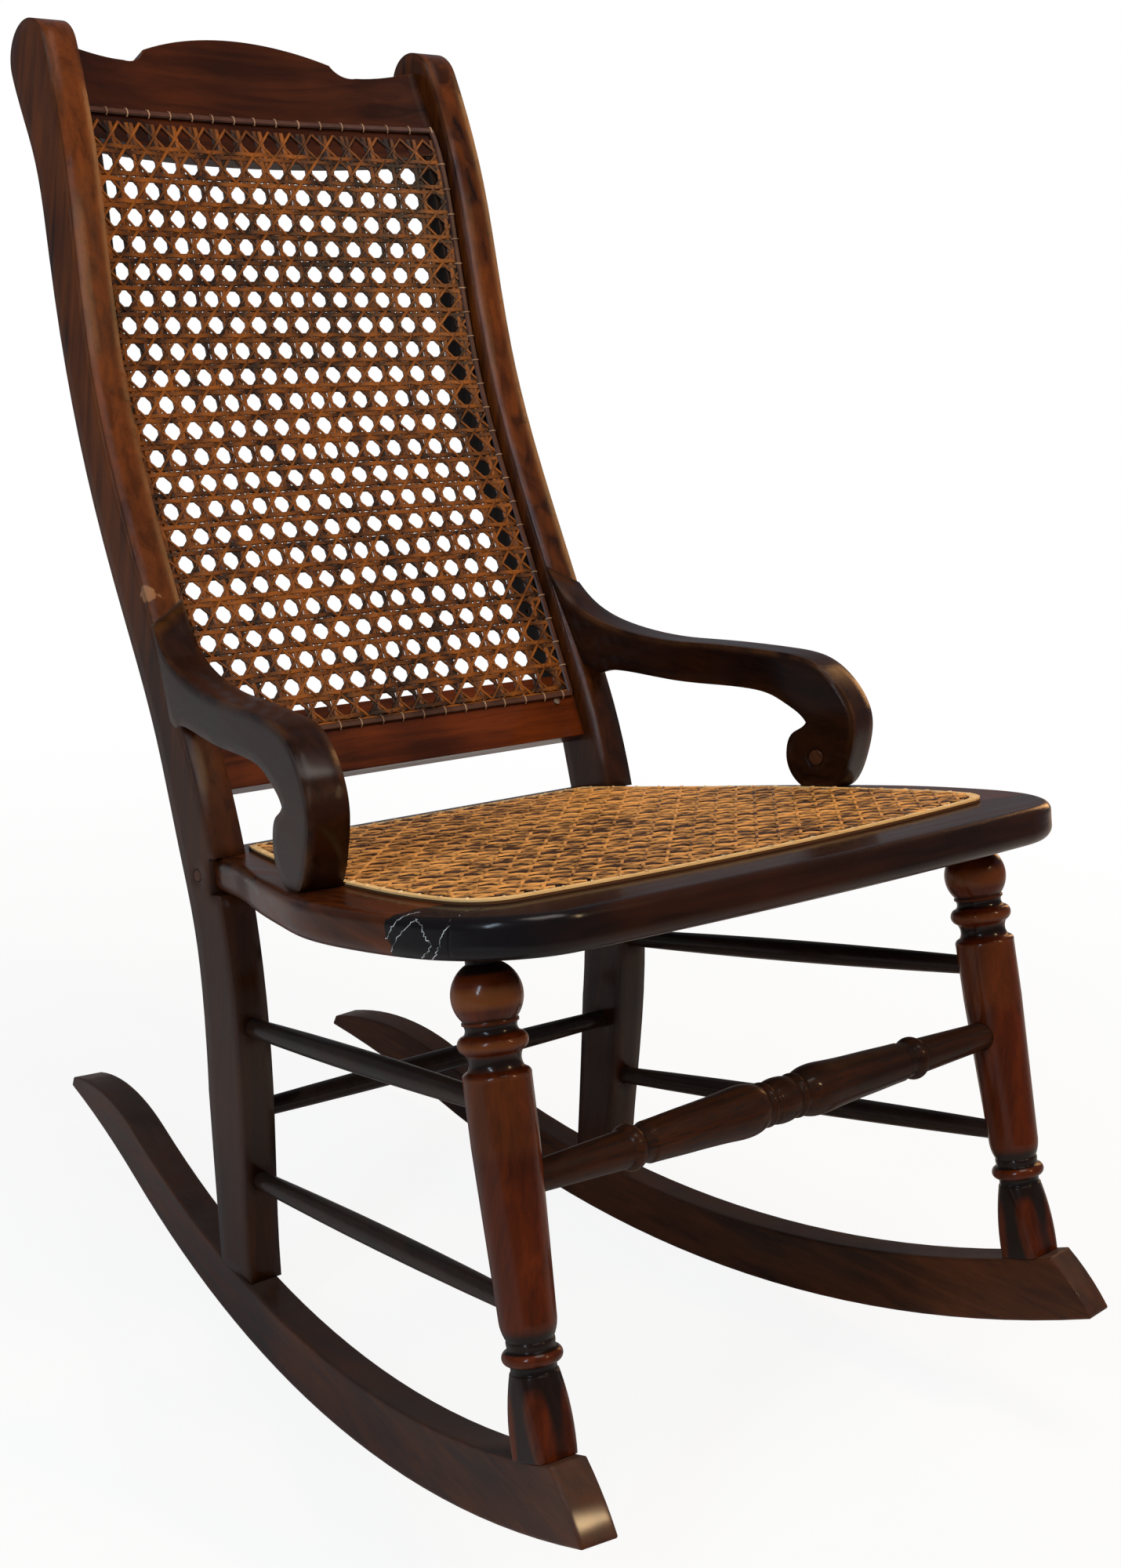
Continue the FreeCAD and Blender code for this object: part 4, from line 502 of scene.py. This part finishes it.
def dust_group():
    """Mask of dust on faces that look up, and of grime in hollows."""
    tree, given, result = new_group(
        "dust_and_grime", [("Dust", "NodeSocketFloat", 0.0), ("Grime", "NodeSocketFloat", 0.5)],
        [("Dust Mask", "NodeSocketFloat"), ("Grime Mask", "NodeSocketFloat")])
    shape = add_node(tree, "ShaderNodeNewGeometry")
    split = add_node(tree, "ShaderNodeSeparateXYZ")
    join(tree, shape.outputs["Normal"], split.inputs[0])
    where = add_node(tree, "ShaderNodeTexCoord")
    cloud = add_node(tree, "ShaderNodeTexNoise", {"Scale": 45.0, "Detail": 8.0, "Roughness": 0.65})
    join(tree, where.outputs["Object"], cloud.inputs["Vector"])
    up = scale_to(tree, split.outputs["Z"], 0.35, 0.95)
    dust = calculate(tree, "MULTIPLY", up, scale_to(tree, cloud.outputs[0], 0.3, 0.7, 0.3, 1.0))
    join(tree, calculate(tree, "MULTIPLY", dust, given.outputs["Dust"]), result.inputs["Dust Mask"])
    hollow = scale_to(tree, shape.outputs["Pointiness"], 0.497, 0.45)
    join(tree, calculate(tree, "MULTIPLY", hollow, given.outputs["Grime"]), result.inputs["Grime Mask"])
    return tree


def leg_group():
    """Mask of the narrow turnings and of the widest rings of the front legs, from the leg's axis."""
    tree, _, result = new_group(
        "leg_turnings", [], [("Hollow", "NodeSocketFloat"), ("Ring", "NodeSocketFloat")])
    where = add_node(tree, "ShaderNodeTexCoord")
    fold = add_node(tree, "ShaderNodeVectorMath", operation="MULTIPLY")
    fold.inputs[1].default_value = (1, 0, 0)
    join(tree, where.outputs["Object"], fold.inputs[0])
    wide = add_node(tree, "ShaderNodeVectorMath", operation="ABSOLUTE")
    join(tree, fold.outputs[0], wide.inputs[0])
    rest = add_node(tree, "ShaderNodeVectorMath", operation="MULTIPLY")
    rest.inputs[1].default_value = (0, 1, 1)
    join(tree, where.outputs["Object"], rest.inputs[0])
    right = add_node(tree, "ShaderNodeVectorMath", operation="ADD")
    join(tree, wide.outputs[0], right.inputs[0])
    join(tree, rest.outputs[0], right.inputs[1])
    top, foot = to_world(*LEG_TOP), to_world(*LEG_FOOT)
    from_top = add_node(tree, "ShaderNodeVectorMath", operation="SUBTRACT")
    from_top.inputs[1].default_value = top
    join(tree, right.outputs[0], from_top.inputs[0])
    across = add_node(tree, "ShaderNodeVectorMath", operation="CROSS_PRODUCT")
    across.inputs[1].default_value = (foot - top).normalized()
    join(tree, from_top.outputs[0], across.inputs[0])
    radius = add_node(tree, "ShaderNodeVectorMath", operation="LENGTH")
    join(tree, across.outputs[0], radius.inputs[0])
    distance = radius.outputs["Value"]
    join(tree, scale_to(tree, distance, *NECK_RADII), result.inputs["Hollow"])
    join(tree, scale_to(tree, distance, *RING_RADII), result.inputs["Ring"])
    return tree


def damage_group():
    """Mask of the blackened left end of the seat's front board, and of the pale chip on the left post."""
    tree, _, result = new_group(
        "old_damage", [], [("Dark End", "NodeSocketFloat"), ("Chip", "NodeSocketFloat")])
    where = add_node(tree, "ShaderNodeTexCoord")
    ragged = add_node(tree, "ShaderNodeTexNoise", {"Scale": 90.0, "Detail": 4.0})
    join(tree, where.outputs["Object"], ragged.inputs["Vector"])
    wobble = scale_to(tree, ragged.outputs[0], 0.3, 0.7, -0.004, 0.004)
    split = add_node(tree, "ShaderNodeSeparateXYZ")
    join(tree, where.outputs["Object"], split.inputs[0])
    drop = calculate(tree, "MULTIPLY", split.outputs["Z"], -DARK_END_SLOPE)
    ahead = calculate(tree, "ADD", split.outputs["Y"], drop)
    ahead = calculate(tree, "ADD", ahead, wobble)
    edge = to_world(*DARK_END_EDGE)
    line = edge.y - DARK_END_SLOPE * edge.z
    front = scale_to(tree, ahead, line + DARK_END_BLUR, line - DARK_END_BLUR)
    left = scale_to(tree, split.outputs["X"], *DARK_END_SIDES)
    join(tree, calculate(tree, "MULTIPLY", front, left), result.inputs["Dark End"])
    spot = add_node(tree, "ShaderNodeVectorMath", operation="DISTANCE")
    spot.inputs[1].default_value = to_world(*CHIP_AT)
    join(tree, where.outputs["Object"], spot.inputs[0])
    near = calculate(tree, "ADD", spot.outputs["Value"], wobble)
    join(tree, scale_to(tree, near, *CHIP_RADII), result.inputs["Chip"])
    return tree


GRAIN_TURNS = {"X": (0.0, math.pi / 2, 0.0), "Y": (math.pi / 2, 0.0, 0.0), "Z": (0.0, 0.0, 0.0)}


def shader_start(name):
    material = bpy.data.materials.new(name)
    material.use_nodes = True
    tree = material.node_tree
    return material, tree, tree.nodes["Principled BSDF"]


def place_group(tree, name):
    return add_node(tree, "ShaderNodeGroup", node_tree=bpy.data.node_groups[name])


def wood(name, axis, light, dark, worn=(0.24, 0.075, 0.017, 1), dust=0.0, grime=0.6, wear=0.6, pores=0.25,
         patches=0.5, rough=0.0, coat=0.22, radius=1.6, extra=None,
         shade=0.0):
    """Stained and varnished wood with its grain along an axis."""
    material, tree, shader = shader_start(name)
    where = add_node(tree, "ShaderNodeTexCoord")
    turn = add_node(tree, "ShaderNodeMapping", {"Rotation": GRAIN_TURNS[axis]})
    join(tree, where.outputs["Object"], turn.inputs["Vector"])
    grain = place_group(tree, "wood_grain")
    join(tree, turn.outputs[0], grain.inputs["Vector"])
    grain.inputs["Light"].default_value = light
    grain.inputs["Dark"].default_value = dark
    grain.inputs["Patches"].default_value = patches
    grain.inputs["Open Pores"].default_value = pores
    edges = place_group(tree, "edge_wear_and_sheen")
    edges.inputs["Radius"].default_value = radius * MM
    edges.inputs["Amount"].default_value = wear
    dirt = place_group(tree, "dust_and_grime")
    dirt.inputs["Dust"].default_value = dust
    dirt.inputs["Grime"].default_value = grime
    colour = mix_colours(tree, edges.outputs["Mask"], grain.outputs["Color"], worn)
    colour = mix_colours(tree, dirt.outputs["Grime Mask"], colour, GRIME_COLOUR)
    colour = mix_colours(tree, dirt.outputs["Dust Mask"], colour, DUST_COLOUR)
    if extra == "leg":
        turnings = place_group(tree, "leg_turnings")
        hollow = calculate(tree, "MULTIPLY", turnings.outputs["Hollow"], 0.92)
        colour = mix_colours(tree, hollow, colour, NECK_COLOUR)
        ring = calculate(tree, "MULTIPLY", turnings.outputs["Ring"], 0.45)
        colour = mix_colours(tree, ring, colour, worn)
    if extra == "damage":
        damage = place_group(tree, "old_damage")
        colour = mix_colours(tree, damage.outputs["Dark End"], colour, BLACKENED_COLOUR)
        colour = mix_colours(tree, damage.outputs["Chip"], colour, CHIP_COLOUR)
    # Painted shade: the posts turn darker below the seat, towards the floor
    if shade:
        height = add_node(tree, "ShaderNodeSeparateXYZ")
        join(tree, where.outputs["Object"], height.inputs[0])
        low = scale_to(tree, height.outputs["Z"], SHADE_LOW, SHADE_HIGH, shade, 0.0)
        colour = mix_colours(tree, low, colour, POST_PAINTED_SHADE_COLOUR)
    join(tree, colour, shader.inputs["Base Color"])
    dull = calculate(tree, "ADD", grain.outputs["Roughness"], rough)
    dull = calculate(tree, "ADD", dull, calculate(tree, "MULTIPLY", dirt.outputs["Dust Mask"], 0.45), True)
    join(tree, dull, shader.inputs["Roughness"])
    bump = add_node(tree, "ShaderNodeBump", {"Strength": 0.12, "Distance": 0.0004})
    join(tree, grain.outputs["Height"], bump.inputs["Height"])
    join(tree, edges.outputs["Normal"], bump.inputs["Normal"])
    join(tree, bump.outputs[0], shader.inputs["Normal"])
    join(tree, edges.outputs["Normal"], shader.inputs["Coat Normal"])
    clean = calculate(tree, "SUBTRACT", 1.0, dirt.outputs["Dust Mask"])
    join(tree, calculate(tree, "MULTIPLY", clean, coat), shader.inputs["Coat Weight"])
    shader.inputs["Coat Roughness"].default_value = 0.09
    shader.inputs["Specular IOR Level"].default_value = 0.05
    return material


def cane(name, light, dark, rough=0.42):
    """Split rattan: each strand has its own tone, with fine fibres."""
    material, tree, shader = shader_start(name)
    tone = add_node(tree, "ShaderNodeAttribute", attribute_name="tone")
    where = add_node(tree, "ShaderNodeTexCoord")
    spots = add_node(tree, "ShaderNodeTexNoise", {"Scale": 55.0, "Detail": 4.0})
    fibres = add_node(tree, "ShaderNodeTexNoise", {"Scale": 900.0, "Detail": 2.0})
    stains = add_node(tree, "ShaderNodeTexNoise", {"Scale": 7.0, "Detail": 3.0})
    for texture in (spots, fibres, stains):
        join(tree, where.outputs["Object"], texture.inputs["Vector"])
    blend = calculate(tree, "MULTIPLY", tone.outputs["Fac"], 0.6)
    blend = calculate(tree, "ADD", blend, scale_to(tree, spots.outputs[0], 0.3, 0.7, -0.15, 0.45))
    blend = calculate(tree, "ADD", blend, scale_to(tree, stains.outputs[0], 0.35, 0.65, -0.15, 0.2), True)
    join(tree, mix_colours(tree, blend, dark, light), shader.inputs["Base Color"])
    shader.inputs["Roughness"].default_value = rough
    shader.inputs["Specular IOR Level"].default_value = 0.22
    bump = add_node(tree, "ShaderNodeBump", {"Strength": 0.2, "Distance": 0.0003})
    join(tree, fibres.outputs[0], bump.inputs["Height"])
    join(tree, bump.outputs[0], shader.inputs["Normal"])
    return material


def painted_shade_sheet(name, dark, rim):
    """Dark sheet under the weave, a painted shade seen through its openings, with the binder's colour on its
    narrow sides.
    """
    material, tree, shader = shader_start(name)
    shape = add_node(tree, "ShaderNodeNewGeometry")
    split = add_node(tree, "ShaderNodeSeparateXYZ")
    join(tree, shape.outputs["Normal"], split.inputs[0])
    flat = calculate(tree, "ABSOLUTE", split.outputs["Z"])
    join(tree, mix_colours(tree, scale_to(tree, flat, 0.5, 0.8), rim, dark), shader.inputs["Base Color"])
    shader.inputs["Roughness"].default_value = 0.8
    shader.inputs["Specular IOR Level"].default_value = 0.15
    return material


def metal(name):
    material, tree, shader = shader_start(name)
    where = add_node(tree, "ShaderNodeTexCoord")
    rust = add_node(tree, "ShaderNodeTexNoise", {"Scale": 300.0, "Detail": 3.0})
    join(tree, where.outputs["Object"], rust.inputs["Vector"])
    colour = mix_colours(tree, scale_to(tree, rust.outputs[0], 0.4, 0.65), (0.20, 0.17, 0.15, 1),
                         (0.07, 0.035, 0.02, 1))
    join(tree, colour, shader.inputs["Base Color"])
    shader.inputs["Metallic"].default_value = 0.8
    shader.inputs["Roughness"].default_value = 0.5
    return material


def dress(node, material):
    """Gives a CAD node a material in place of its own."""
    mesh_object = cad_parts[node]
    for slot in mesh_object.material_slots:
        slot.material = material


# Settings and operators


class ChairSettings(bpy.types.PropertyGroup):
    strand_width: FloatProperty(
        name="Strand Width", description="Width of an upright or cross strand in millimetres",
        default=4.1, min=1.0, max=5.0)
    diagonal_width: FloatProperty(
        name="Diagonal Width", description="Width of a diagonal strand in millimetres",
        default=2.4, min=1.0, max=5.0)
    strand_thickness: FloatProperty(
        name="Strand Thickness", description="Thickness of every strand in millimetres",
        default=0.85, min=0.2, max=1.5)
    pair_gap: FloatProperty(
        name="Pair Spacing", description="Distance between the two strands of a pair in millimetres",
        default=4.0, min=1.0, max=8.0)
    back_rows: IntProperty(
        name="Back Rows", description="Rows of openings in the back", default=21, min=5, max=40)
    mesh_pitch: FloatProperty(
        name="Mesh Pitch", description="Distance between the weave's openings in millimetres",
        default=19.5, min=10.0, max=40.0)
    lamp_level: FloatProperty(
        name="Lamp Level", description="Strength of every lamp", default=1.0, min=0.0, max=5.0)


class CHAIR_OT_finish_wood(bpy.types.Operator):
    """Stains and varnishes every wooden CAD node"""
    bl_idname = "chair.finish_wood"
    bl_label = "Finish Wood"

    def execute(self, context):
        grain_group()
        edge_group()
        dust_group()
        leg_group()
        damage_group()
        light, dark = (0.092, 0.0205, 0.0040, 1), (0.011, 0.0030, 0.0014, 1)
        along_x = wood("varnished_wood_x", "X", (0.056, 0.0115, 0.0022, 1), dark)
        along_y = wood("varnished_wood_y", "Y", light, dark, extra="damage", radius=2.5)
        arms = wood("arm_wood", "Y", (0.026, 0.0062, 0.0015, 1), (0.0050, 0.0016, 0.0008, 1),
                    worn=(0.20, 0.070, 0.018, 1), wear=0.5, radius=10.0, coat=0.22)
        # On the posts the broad orange band along the edges is partly real wear and partly a painted
        # highlight
        posts = wood("varnished_wood_z", "Z", (0.140, 0.0320, 0.0040, 1), dark, extra="damage",
                     radius=12.0, coat=0.3, shade=0.8, worn=(0.22, 0.062, 0.013, 1), wear=0.8)
        legs = wood("turned_leg_wood", "Z", (0.112, 0.0175, 0.0022, 1), (0.034, 0.0058, 0.0012, 1),
                    grime=0.95, patches=0.25, extra="leg")
        bars = wood("round_bar_wood", "Y", (0.030, 0.014, 0.0085, 1), (0.010, 0.0052, 0.0036, 1),
                    rough=0.12, coat=0.2, pores=0.6, dust=0.2)
        front_bar = wood("front_bar_wood", "X", (0.044, 0.0112, 0.0027, 1), (0.0085, 0.0026, 0.0012, 1),
                         grime=0.95, coat=0.12, pores=0.95, rough=0.18, dust=0.1)
        rockers = wood("rocker_wood", "Y", (0.075, 0.0195, 0.0048, 1), (0.014, 0.0042, 0.0018, 1),
                       dust=0.65, rough=0.06, radius=3.0)
        slips = wood("slip_wood", "Z", (0.016, 0.009, 0.006, 1), (0.005, 0.003, 0.0022, 1),
                     rough=0.2, coat=0.1)
        rail = wood("lower_rail_wood", "X", (0.125, 0.0225, 0.0035, 1), (0.028, 0.0060, 0.0018, 1),
                    patches=0.7)
        front = wood("front_rail_wood", "X", (0.030, 0.0074, 0.0020, 1), (0.0046, 0.0017, 0.0010, 1),
                     patches=0.6, extra="damage", radius=3.0, worn=(0.16, 0.060, 0.022, 1))
        pegs = wood("peg_wood", "X", (0.10, 0.032, 0.012, 1), (0.030, 0.010, 0.005, 1))
        for nodes, material in (
                (GRAIN_X, along_x), (GRAIN_Y, along_y), (ARMS, arms), (POSTS, posts), (TURNED_LEGS, legs),
                (SIDE_BARS, bars), (("rear_stretcher",), bars), (("front_stretcher",), front_bar),
                (ROCKERS, rockers), (SLIPS, slips), (("lower_back_rail",), rail),
                (("seat_front_rail",), front), (PEGS, pegs)):
            for node in nodes:
                dress(node, material)
        steel = metal("dull_steel")
        for node in ("arm_screws", "post_screws", "rail_nails"):
            dress(node, steel)
        dress("seat_binder", cane("seat_binder_cane", (0.90, 0.60, 0.27, 1), (0.78, 0.47, 0.18, 1)))
        # The seat_cane node stays as a dark sheet of painted shade, seen through the weave's openings
        dress("seat_cane", painted_shade_sheet("seat_painted_shade", (0.014, 0.0052, 0.0026, 1), (0.085, 0.034, 0.012, 1)))
        return {"FINISHED"}


class CHAIR_OT_weave_back(bpy.types.Operator):
    """Weaves the cane of the back over its CAD sheet and sews on its binder"""
    bl_idname = "chair.weave_back"
    bl_label = "Weave Back"

    def execute(self, context):
        settings = context.scene.chair
        sheet = back_sheet("back_cane")
        rows = settings.back_rows
        pitch = settings.mesh_pitch * MM

        def place(column, row):
            turn = row - (rows + 2) / 2
            height = BACK_MIDDLE + BACK_ROW_PITCH * turn + BACK_ROW_GROWTH * turn * turn
            return column * pitch, height

        def inside(x, z):
            return BINDER_LOW < z < BINDER_HIGH and abs(x) < post_inner(z) - BINDER_MARGIN

        strands = Strands()
        weave(strands, sheet, place, (-BACK_COLUMNS - 1, BACK_COLUMNS + 1), (-1, rows + 1),
              0.9 * MM, 0.32 * MM, settings, inside)
        material = cane("back_cane_strands", (0.25, 0.070, 0.0070, 1), (0.013, 0.0040, 0.0015, 1))
        piece = strands.build("back_weave", material)
        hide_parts("back_cane")

        def side(sign, z):
            return sign * (post_inner(z) - BINDER_MARGIN), z

        edge = [BINDER_LOW + (BINDER_HIGH - BINDER_LOW) * step / 8 for step in range(9)]
        corners = [side(-1, z) for z in edge] + [side(1, z) for z in reversed(edge)]
        corners.append(corners[0])
        band = Strands()
        edge_band(band, sheet, corners, *BACK_BAND, 0.3)
        band_material = cane("back_binder_cane", (0.10, 0.036, 0.021, 1), (0.030, 0.010, 0.006, 1))
        piece = band.build("back_binder_band", band_material)
        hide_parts("back_binder")

        stitches = Strands()
        for column in range(-BACK_COLUMNS, BACK_COLUMNS + 1):
            for z in (BINDER_LOW, BINDER_HIGH):
                shift = (chance(column, 8) - 0.5) * 2 * MM
                tone = 0.8 + chance(column, 9) * 0.2
                stitch(stitches, sheet, (column * pitch + shift, z), (0, 1), *BACK_STITCH, tone)
        for row in range(rows + 1):
            z = place(0, row)[1]
            for sign in (-1, 1):
                tone = 0.6 + chance(row, sign, 9) * 0.4
                stitch(stitches, sheet, side(sign, z), (1, 0), *BACK_STITCH, tone)
        light = cane("back_stitch_cane", (0.42, 0.25, 0.14, 1), (0.10, 0.045, 0.025, 1))
        stitches.build("back_stitches", light)
        return {"FINISHED"}


def binder_loop(sheet, count):
    """Points of the sheet on the middle of the binder that runs round it, and the directions out."""
    loop = []
    for index in range(count):
        turn = 2 * math.pi * index / count
        outward = (math.cos(turn), math.sin(turn))
        hits = [reach for reach in range(120, 290)
                if sheet.cast(outward[0] * reach * MM, outward[1] * reach * MM) is not None]
        if hits:
            middle = (hits[0] + hits[-1]) / 2 * MM
            loop.append(((outward[0] * middle, outward[1] * middle), outward))
    return loop


class CHAIR_OT_weave_seat(bpy.types.Operator):
    """Weaves the cane of the seat on a dark sheet of painted shade and stitches its binder"""
    bl_idname = "chair.weave_seat"
    bl_label = "Weave Seat"

    def execute(self, context):
        settings = context.scene.chair
        sheet = seat_sheet("seat_cane", cover="seat_binder")
        pitch = settings.mesh_pitch * MM

        def place(column, row):
            return column * pitch, SEAT_FRONT_LINE + row * pitch

        strands = Strands()
        weave(strands, sheet, place, (-12, 12), (-1, 19), -0.75 * MM, 0.5 * MM, settings)
        material = cane("seat_cane_strands", (0.76, 0.335, 0.080, 1), (0.040, 0.012, 0.0036, 1))
        strands.build("seat_weave", material)

        stitches = Strands()
        binder = seat_sheet("seat_binder")
        last = None
        for middle, outward in binder_loop(binder, 720):
            if last is not None and math.dist(last, middle) < pitch * 0.98:
                continue
            last = middle
            path = []
            for share in (-0.9, -0.45, 0.0, 0.45, 0.9):
                reach = SEAT_STITCH_REACH * share
                found = binder.at(middle[0] + outward[0] * reach, middle[1] + outward[1] * reach,
                                  -SEAT_STITCH_LIFT)
                if found:
                    path.append((*found, 0.75))
            stitches.add(path, SEAT_STITCH_WIDTH, SEAT_STITCH_THICK)
        light = cane("seat_stitch_cane", (0.95, 0.72, 0.40, 1), (0.45, 0.22, 0.07, 1))
        stitches.build("seat_stitches", light)
        return {"FINISHED"}


# Fine pale cracks in the varnish of the seat's blackened corner, in the upright frame in millimetres
CRACKS = (
    ((-262.6, -158.7, 394.8), (-265.6, -154.6, 390.5), (-267.0, -146.8, 382.3), (-265.8, -139.1, 371.8)),
    ((-262.6, -158.7, 394.8), (-263.1, -165.1, 392.6), (-263.5, -164.8, 389.5), (-262.9, -167.5, 385.0),
     (-261.8, -171.1, 383.4), (-262.4, -168.2, 377.9), (-262.0, -160.0, 370.5)),
    ((-247.6, -179.1, 398.6), (-257.3, -181.0, 394.5), (-259.5, -177.3, 388.3), (-260.0, -176.5, 382.8),
     (-260.3, -173.3, 377.2), (-259.5, -168.0, 371.0)),
    ((-268.0, -137.0, 380.4), (-267.4, -142.3, 387.8), (-262.0, -148.5, 394.9), (-250.0, -146.0, 396.0)),
)


class CHAIR_OT_crack_varnish(bpy.types.Operator):
    """Draws the fine cracks in the varnish of the seat's left corner"""
    bl_idname = "chair.crack_varnish"
    bl_label = "Crack Varnish"

    def execute(self, context):
        trees = [surface_of(node) for node in ("left_seat_rail", "seat_front_rail")]
        cracks = Strands()
        for number, points in enumerate(CRACKS):
            path = []
            for start, end in zip(points, points[1:]):
                for step in range(CRACK_STEPS):
                    share = step / CRACK_STEPS
                    rough = [(chance(number, step, axis, int(start[0] * 10)) - 0.5) * CRACK_ROUGHNESS
                             for axis in range(3)]
                    spot = [a + (b - a) * share + c for a, b, c in zip(start, end, rough)]
                    spot = to_world(*(value * MM for value in spot))
                    hits = [tree.find_nearest(spot) for tree in trees]
                    hit = min(hits, key=lambda item: item[3])
                    path.append((hit[0] + hit[1] * CRACK_LIFT, hit[1], chance(number, step)))
            cracks.add(path, CRACK_WIDTH, CRACK_THICK)
        material, tree, shader = shader_start("crack_white")
        where = add_node(tree, "ShaderNodeTexCoord")
        cloud = add_node(tree, "ShaderNodeTexNoise", {"Scale": 160.0, "Detail": 2.0})
        join(tree, where.outputs["Object"], cloud.inputs["Vector"])
        fade = scale_to(tree, cloud.outputs[0], 0.35, 0.6)
        colour = mix_colours(tree, fade, (0.05, 0.05, 0.05, 1), (0.55, 0.56, 0.55, 1))
        join(tree, colour, shader.inputs["Base Color"])
        shader.inputs["Roughness"].default_value = 0.6
        cracks.build("varnish_cracks", material)
        return {"FINISHED"}


def camera_matrix():
    right, forward = turned(CAMERA_RIGHT), turned(CAMERA_FORWARD)
    right.normalize()
    forward.normalize()
    up = right.cross(forward)
    turn = Matrix((right, up, -forward)).transposed().to_4x4()
    return Matrix.Translation(to_world(*CAMERA_AT)) @ turn


def white_share(tree):
    """How much of the white surround a ray sees: all for the camera, a share for other clear rays."""
    path = add_node(tree, "ShaderNodeLightPath")
    mirrored = calculate(tree, "MAXIMUM", path.outputs["Is Glossy Ray"], path.outputs["Is Transmission Ray"])
    mirrored = calculate(tree, "MULTIPLY", mirrored, GLOSSY_SHARE)
    return calculate(tree, "MAXIMUM", path.outputs["Is Camera Ray"], mirrored)


class CHAIR_OT_stage(bpy.types.Operator):
    """Sets the floor, lamps, world and camera"""
    bl_idname = "chair.stage"
    bl_label = "Set Stage"

    def execute(self, context):
        scene = context.scene
        scene.view_settings.view_transform = "Standard"
        level = scene.chair.lamp_level
        floor_mesh = bpy.data.meshes.new("floor")
        corners = [(FLOOR_REACH * x, FLOOR_REACH * y, 0) for x, y in ((-1, -1), (1, -1), (1, 1), (-1, 1))]
        floor_mesh.from_pydata(corners, [], [(0, 1, 2, 3)])
        floor = bpy.data.objects.new("floor", floor_mesh)
        scene.collection.objects.link(floor)
        material, tree, shader = shader_start("pale_floor")
        shader.inputs["Base Color"].default_value = (0.80, 0.80, 0.80, 1)
        shader.inputs["Roughness"].default_value = 0.9
        shader.inputs["Specular IOR Level"].default_value = 0.1
        glow = add_node(tree, "ShaderNodeEmission", {"Strength": 1.0})
        mixed = add_node(tree, "ShaderNodeMixShader")
        where = add_node(tree, "ShaderNodeTexCoord")
        apart = add_node(tree, "ShaderNodeVectorMath", operation="LENGTH")
        join(tree, where.outputs["Object"], apart.inputs[0])
        plain = scale_to(tree, apart.outputs["Value"], 0.5, 1.4, 0.9, 1.0)
        join(tree, calculate(tree, "MULTIPLY", white_share(tree), plain), mixed.inputs[0])
        join(tree, shader.outputs[0], mixed.inputs[1])
        join(tree, glow.outputs[0], mixed.inputs[2])
        join(tree, mixed.outputs[0], tree.nodes["Material Output"].inputs["Surface"])
        floor_mesh.materials.append(material)

        world = bpy.data.worlds.new("studio")
        scene.world = world
        world.use_nodes = True
        tree = world.node_tree
        room = tree.nodes["Background"]
        room.inputs["Color"].default_value = (0.80, 0.86, 1.0, 1)
        room.inputs["Strength"].default_value = ROOM_STRENGTH * level
        white = add_node(tree, "ShaderNodeBackground", {"Color": (1, 1, 1, 1), "Strength": 1.0})
        mixed = add_node(tree, "ShaderNodeMixShader")
        join(tree, white_share(tree), mixed.inputs[0])
        join(tree, room.outputs[0], mixed.inputs[1])
        join(tree, white.outputs[0], mixed.inputs[2])
        join(tree, mixed.outputs[0], tree.nodes["World Output"].inputs["Surface"])

        middle = Vector(CHAIR_MIDDLE)
        for name, at, size, energy, colour in LAMPS:
            data = bpy.data.lights.new(name, "AREA")
            data.shape = "RECTANGLE"
            data.size, data.size_y = size
            data.energy = energy * level
            data.color = colour
            lamp = bpy.data.objects.new(name, data)
            lamp.location = at
            lamp.rotation_euler = (middle - Vector(at)).to_track_quat("-Z", "Y").to_euler()
            scene.collection.objects.link(lamp)

        data = bpy.data.cameras.new("camera")
        data.sensor_width = 36.0
        data.lens = CAMERA_LENS
        data.shift_x, data.shift_y = CAMERA_SHIFT
        data.clip_end = 60.0
        camera = bpy.data.objects.new("camera", data)
        camera.matrix_world = camera_matrix()
        scene.collection.objects.link(camera)
        scene.camera = camera
        return {"FINISHED"}


class CHAIR_PT_panel(bpy.types.Panel):
    bl_idname = "CHAIR_PT_panel"
    bl_label = "Rocking Chair"
    bl_space_type = "VIEW_3D"
    bl_region_type = "UI"
    bl_category = "Rocking Chair"

    def draw(self, context):
        column = self.layout.column()
        for name in ChairSettings.__annotations__:
            column.prop(context.scene.chair, name)
        for operator in OPERATORS:
            column.operator(operator.bl_idname)


OPERATORS = (CHAIR_OT_finish_wood, CHAIR_OT_weave_back, CHAIR_OT_weave_seat, CHAIR_OT_crack_varnish,
             CHAIR_OT_stage)
CLASSES = (ChairSettings,) + OPERATORS + (CHAIR_PT_panel,)


def register():
    for item in CLASSES:
        bpy.utils.register_class(item)
    bpy.types.Scene.chair = PointerProperty(type=ChairSettings)


def unregister():
    del bpy.types.Scene.chair
    for item in reversed(CLASSES):
        bpy.utils.unregister_class(item)


def main():
    register()
    for operator in OPERATORS:
        group, name = operator.bl_idname.split(".")
        getattr(getattr(bpy.ops, group), name)()


if __name__ == "__main__":
    main()
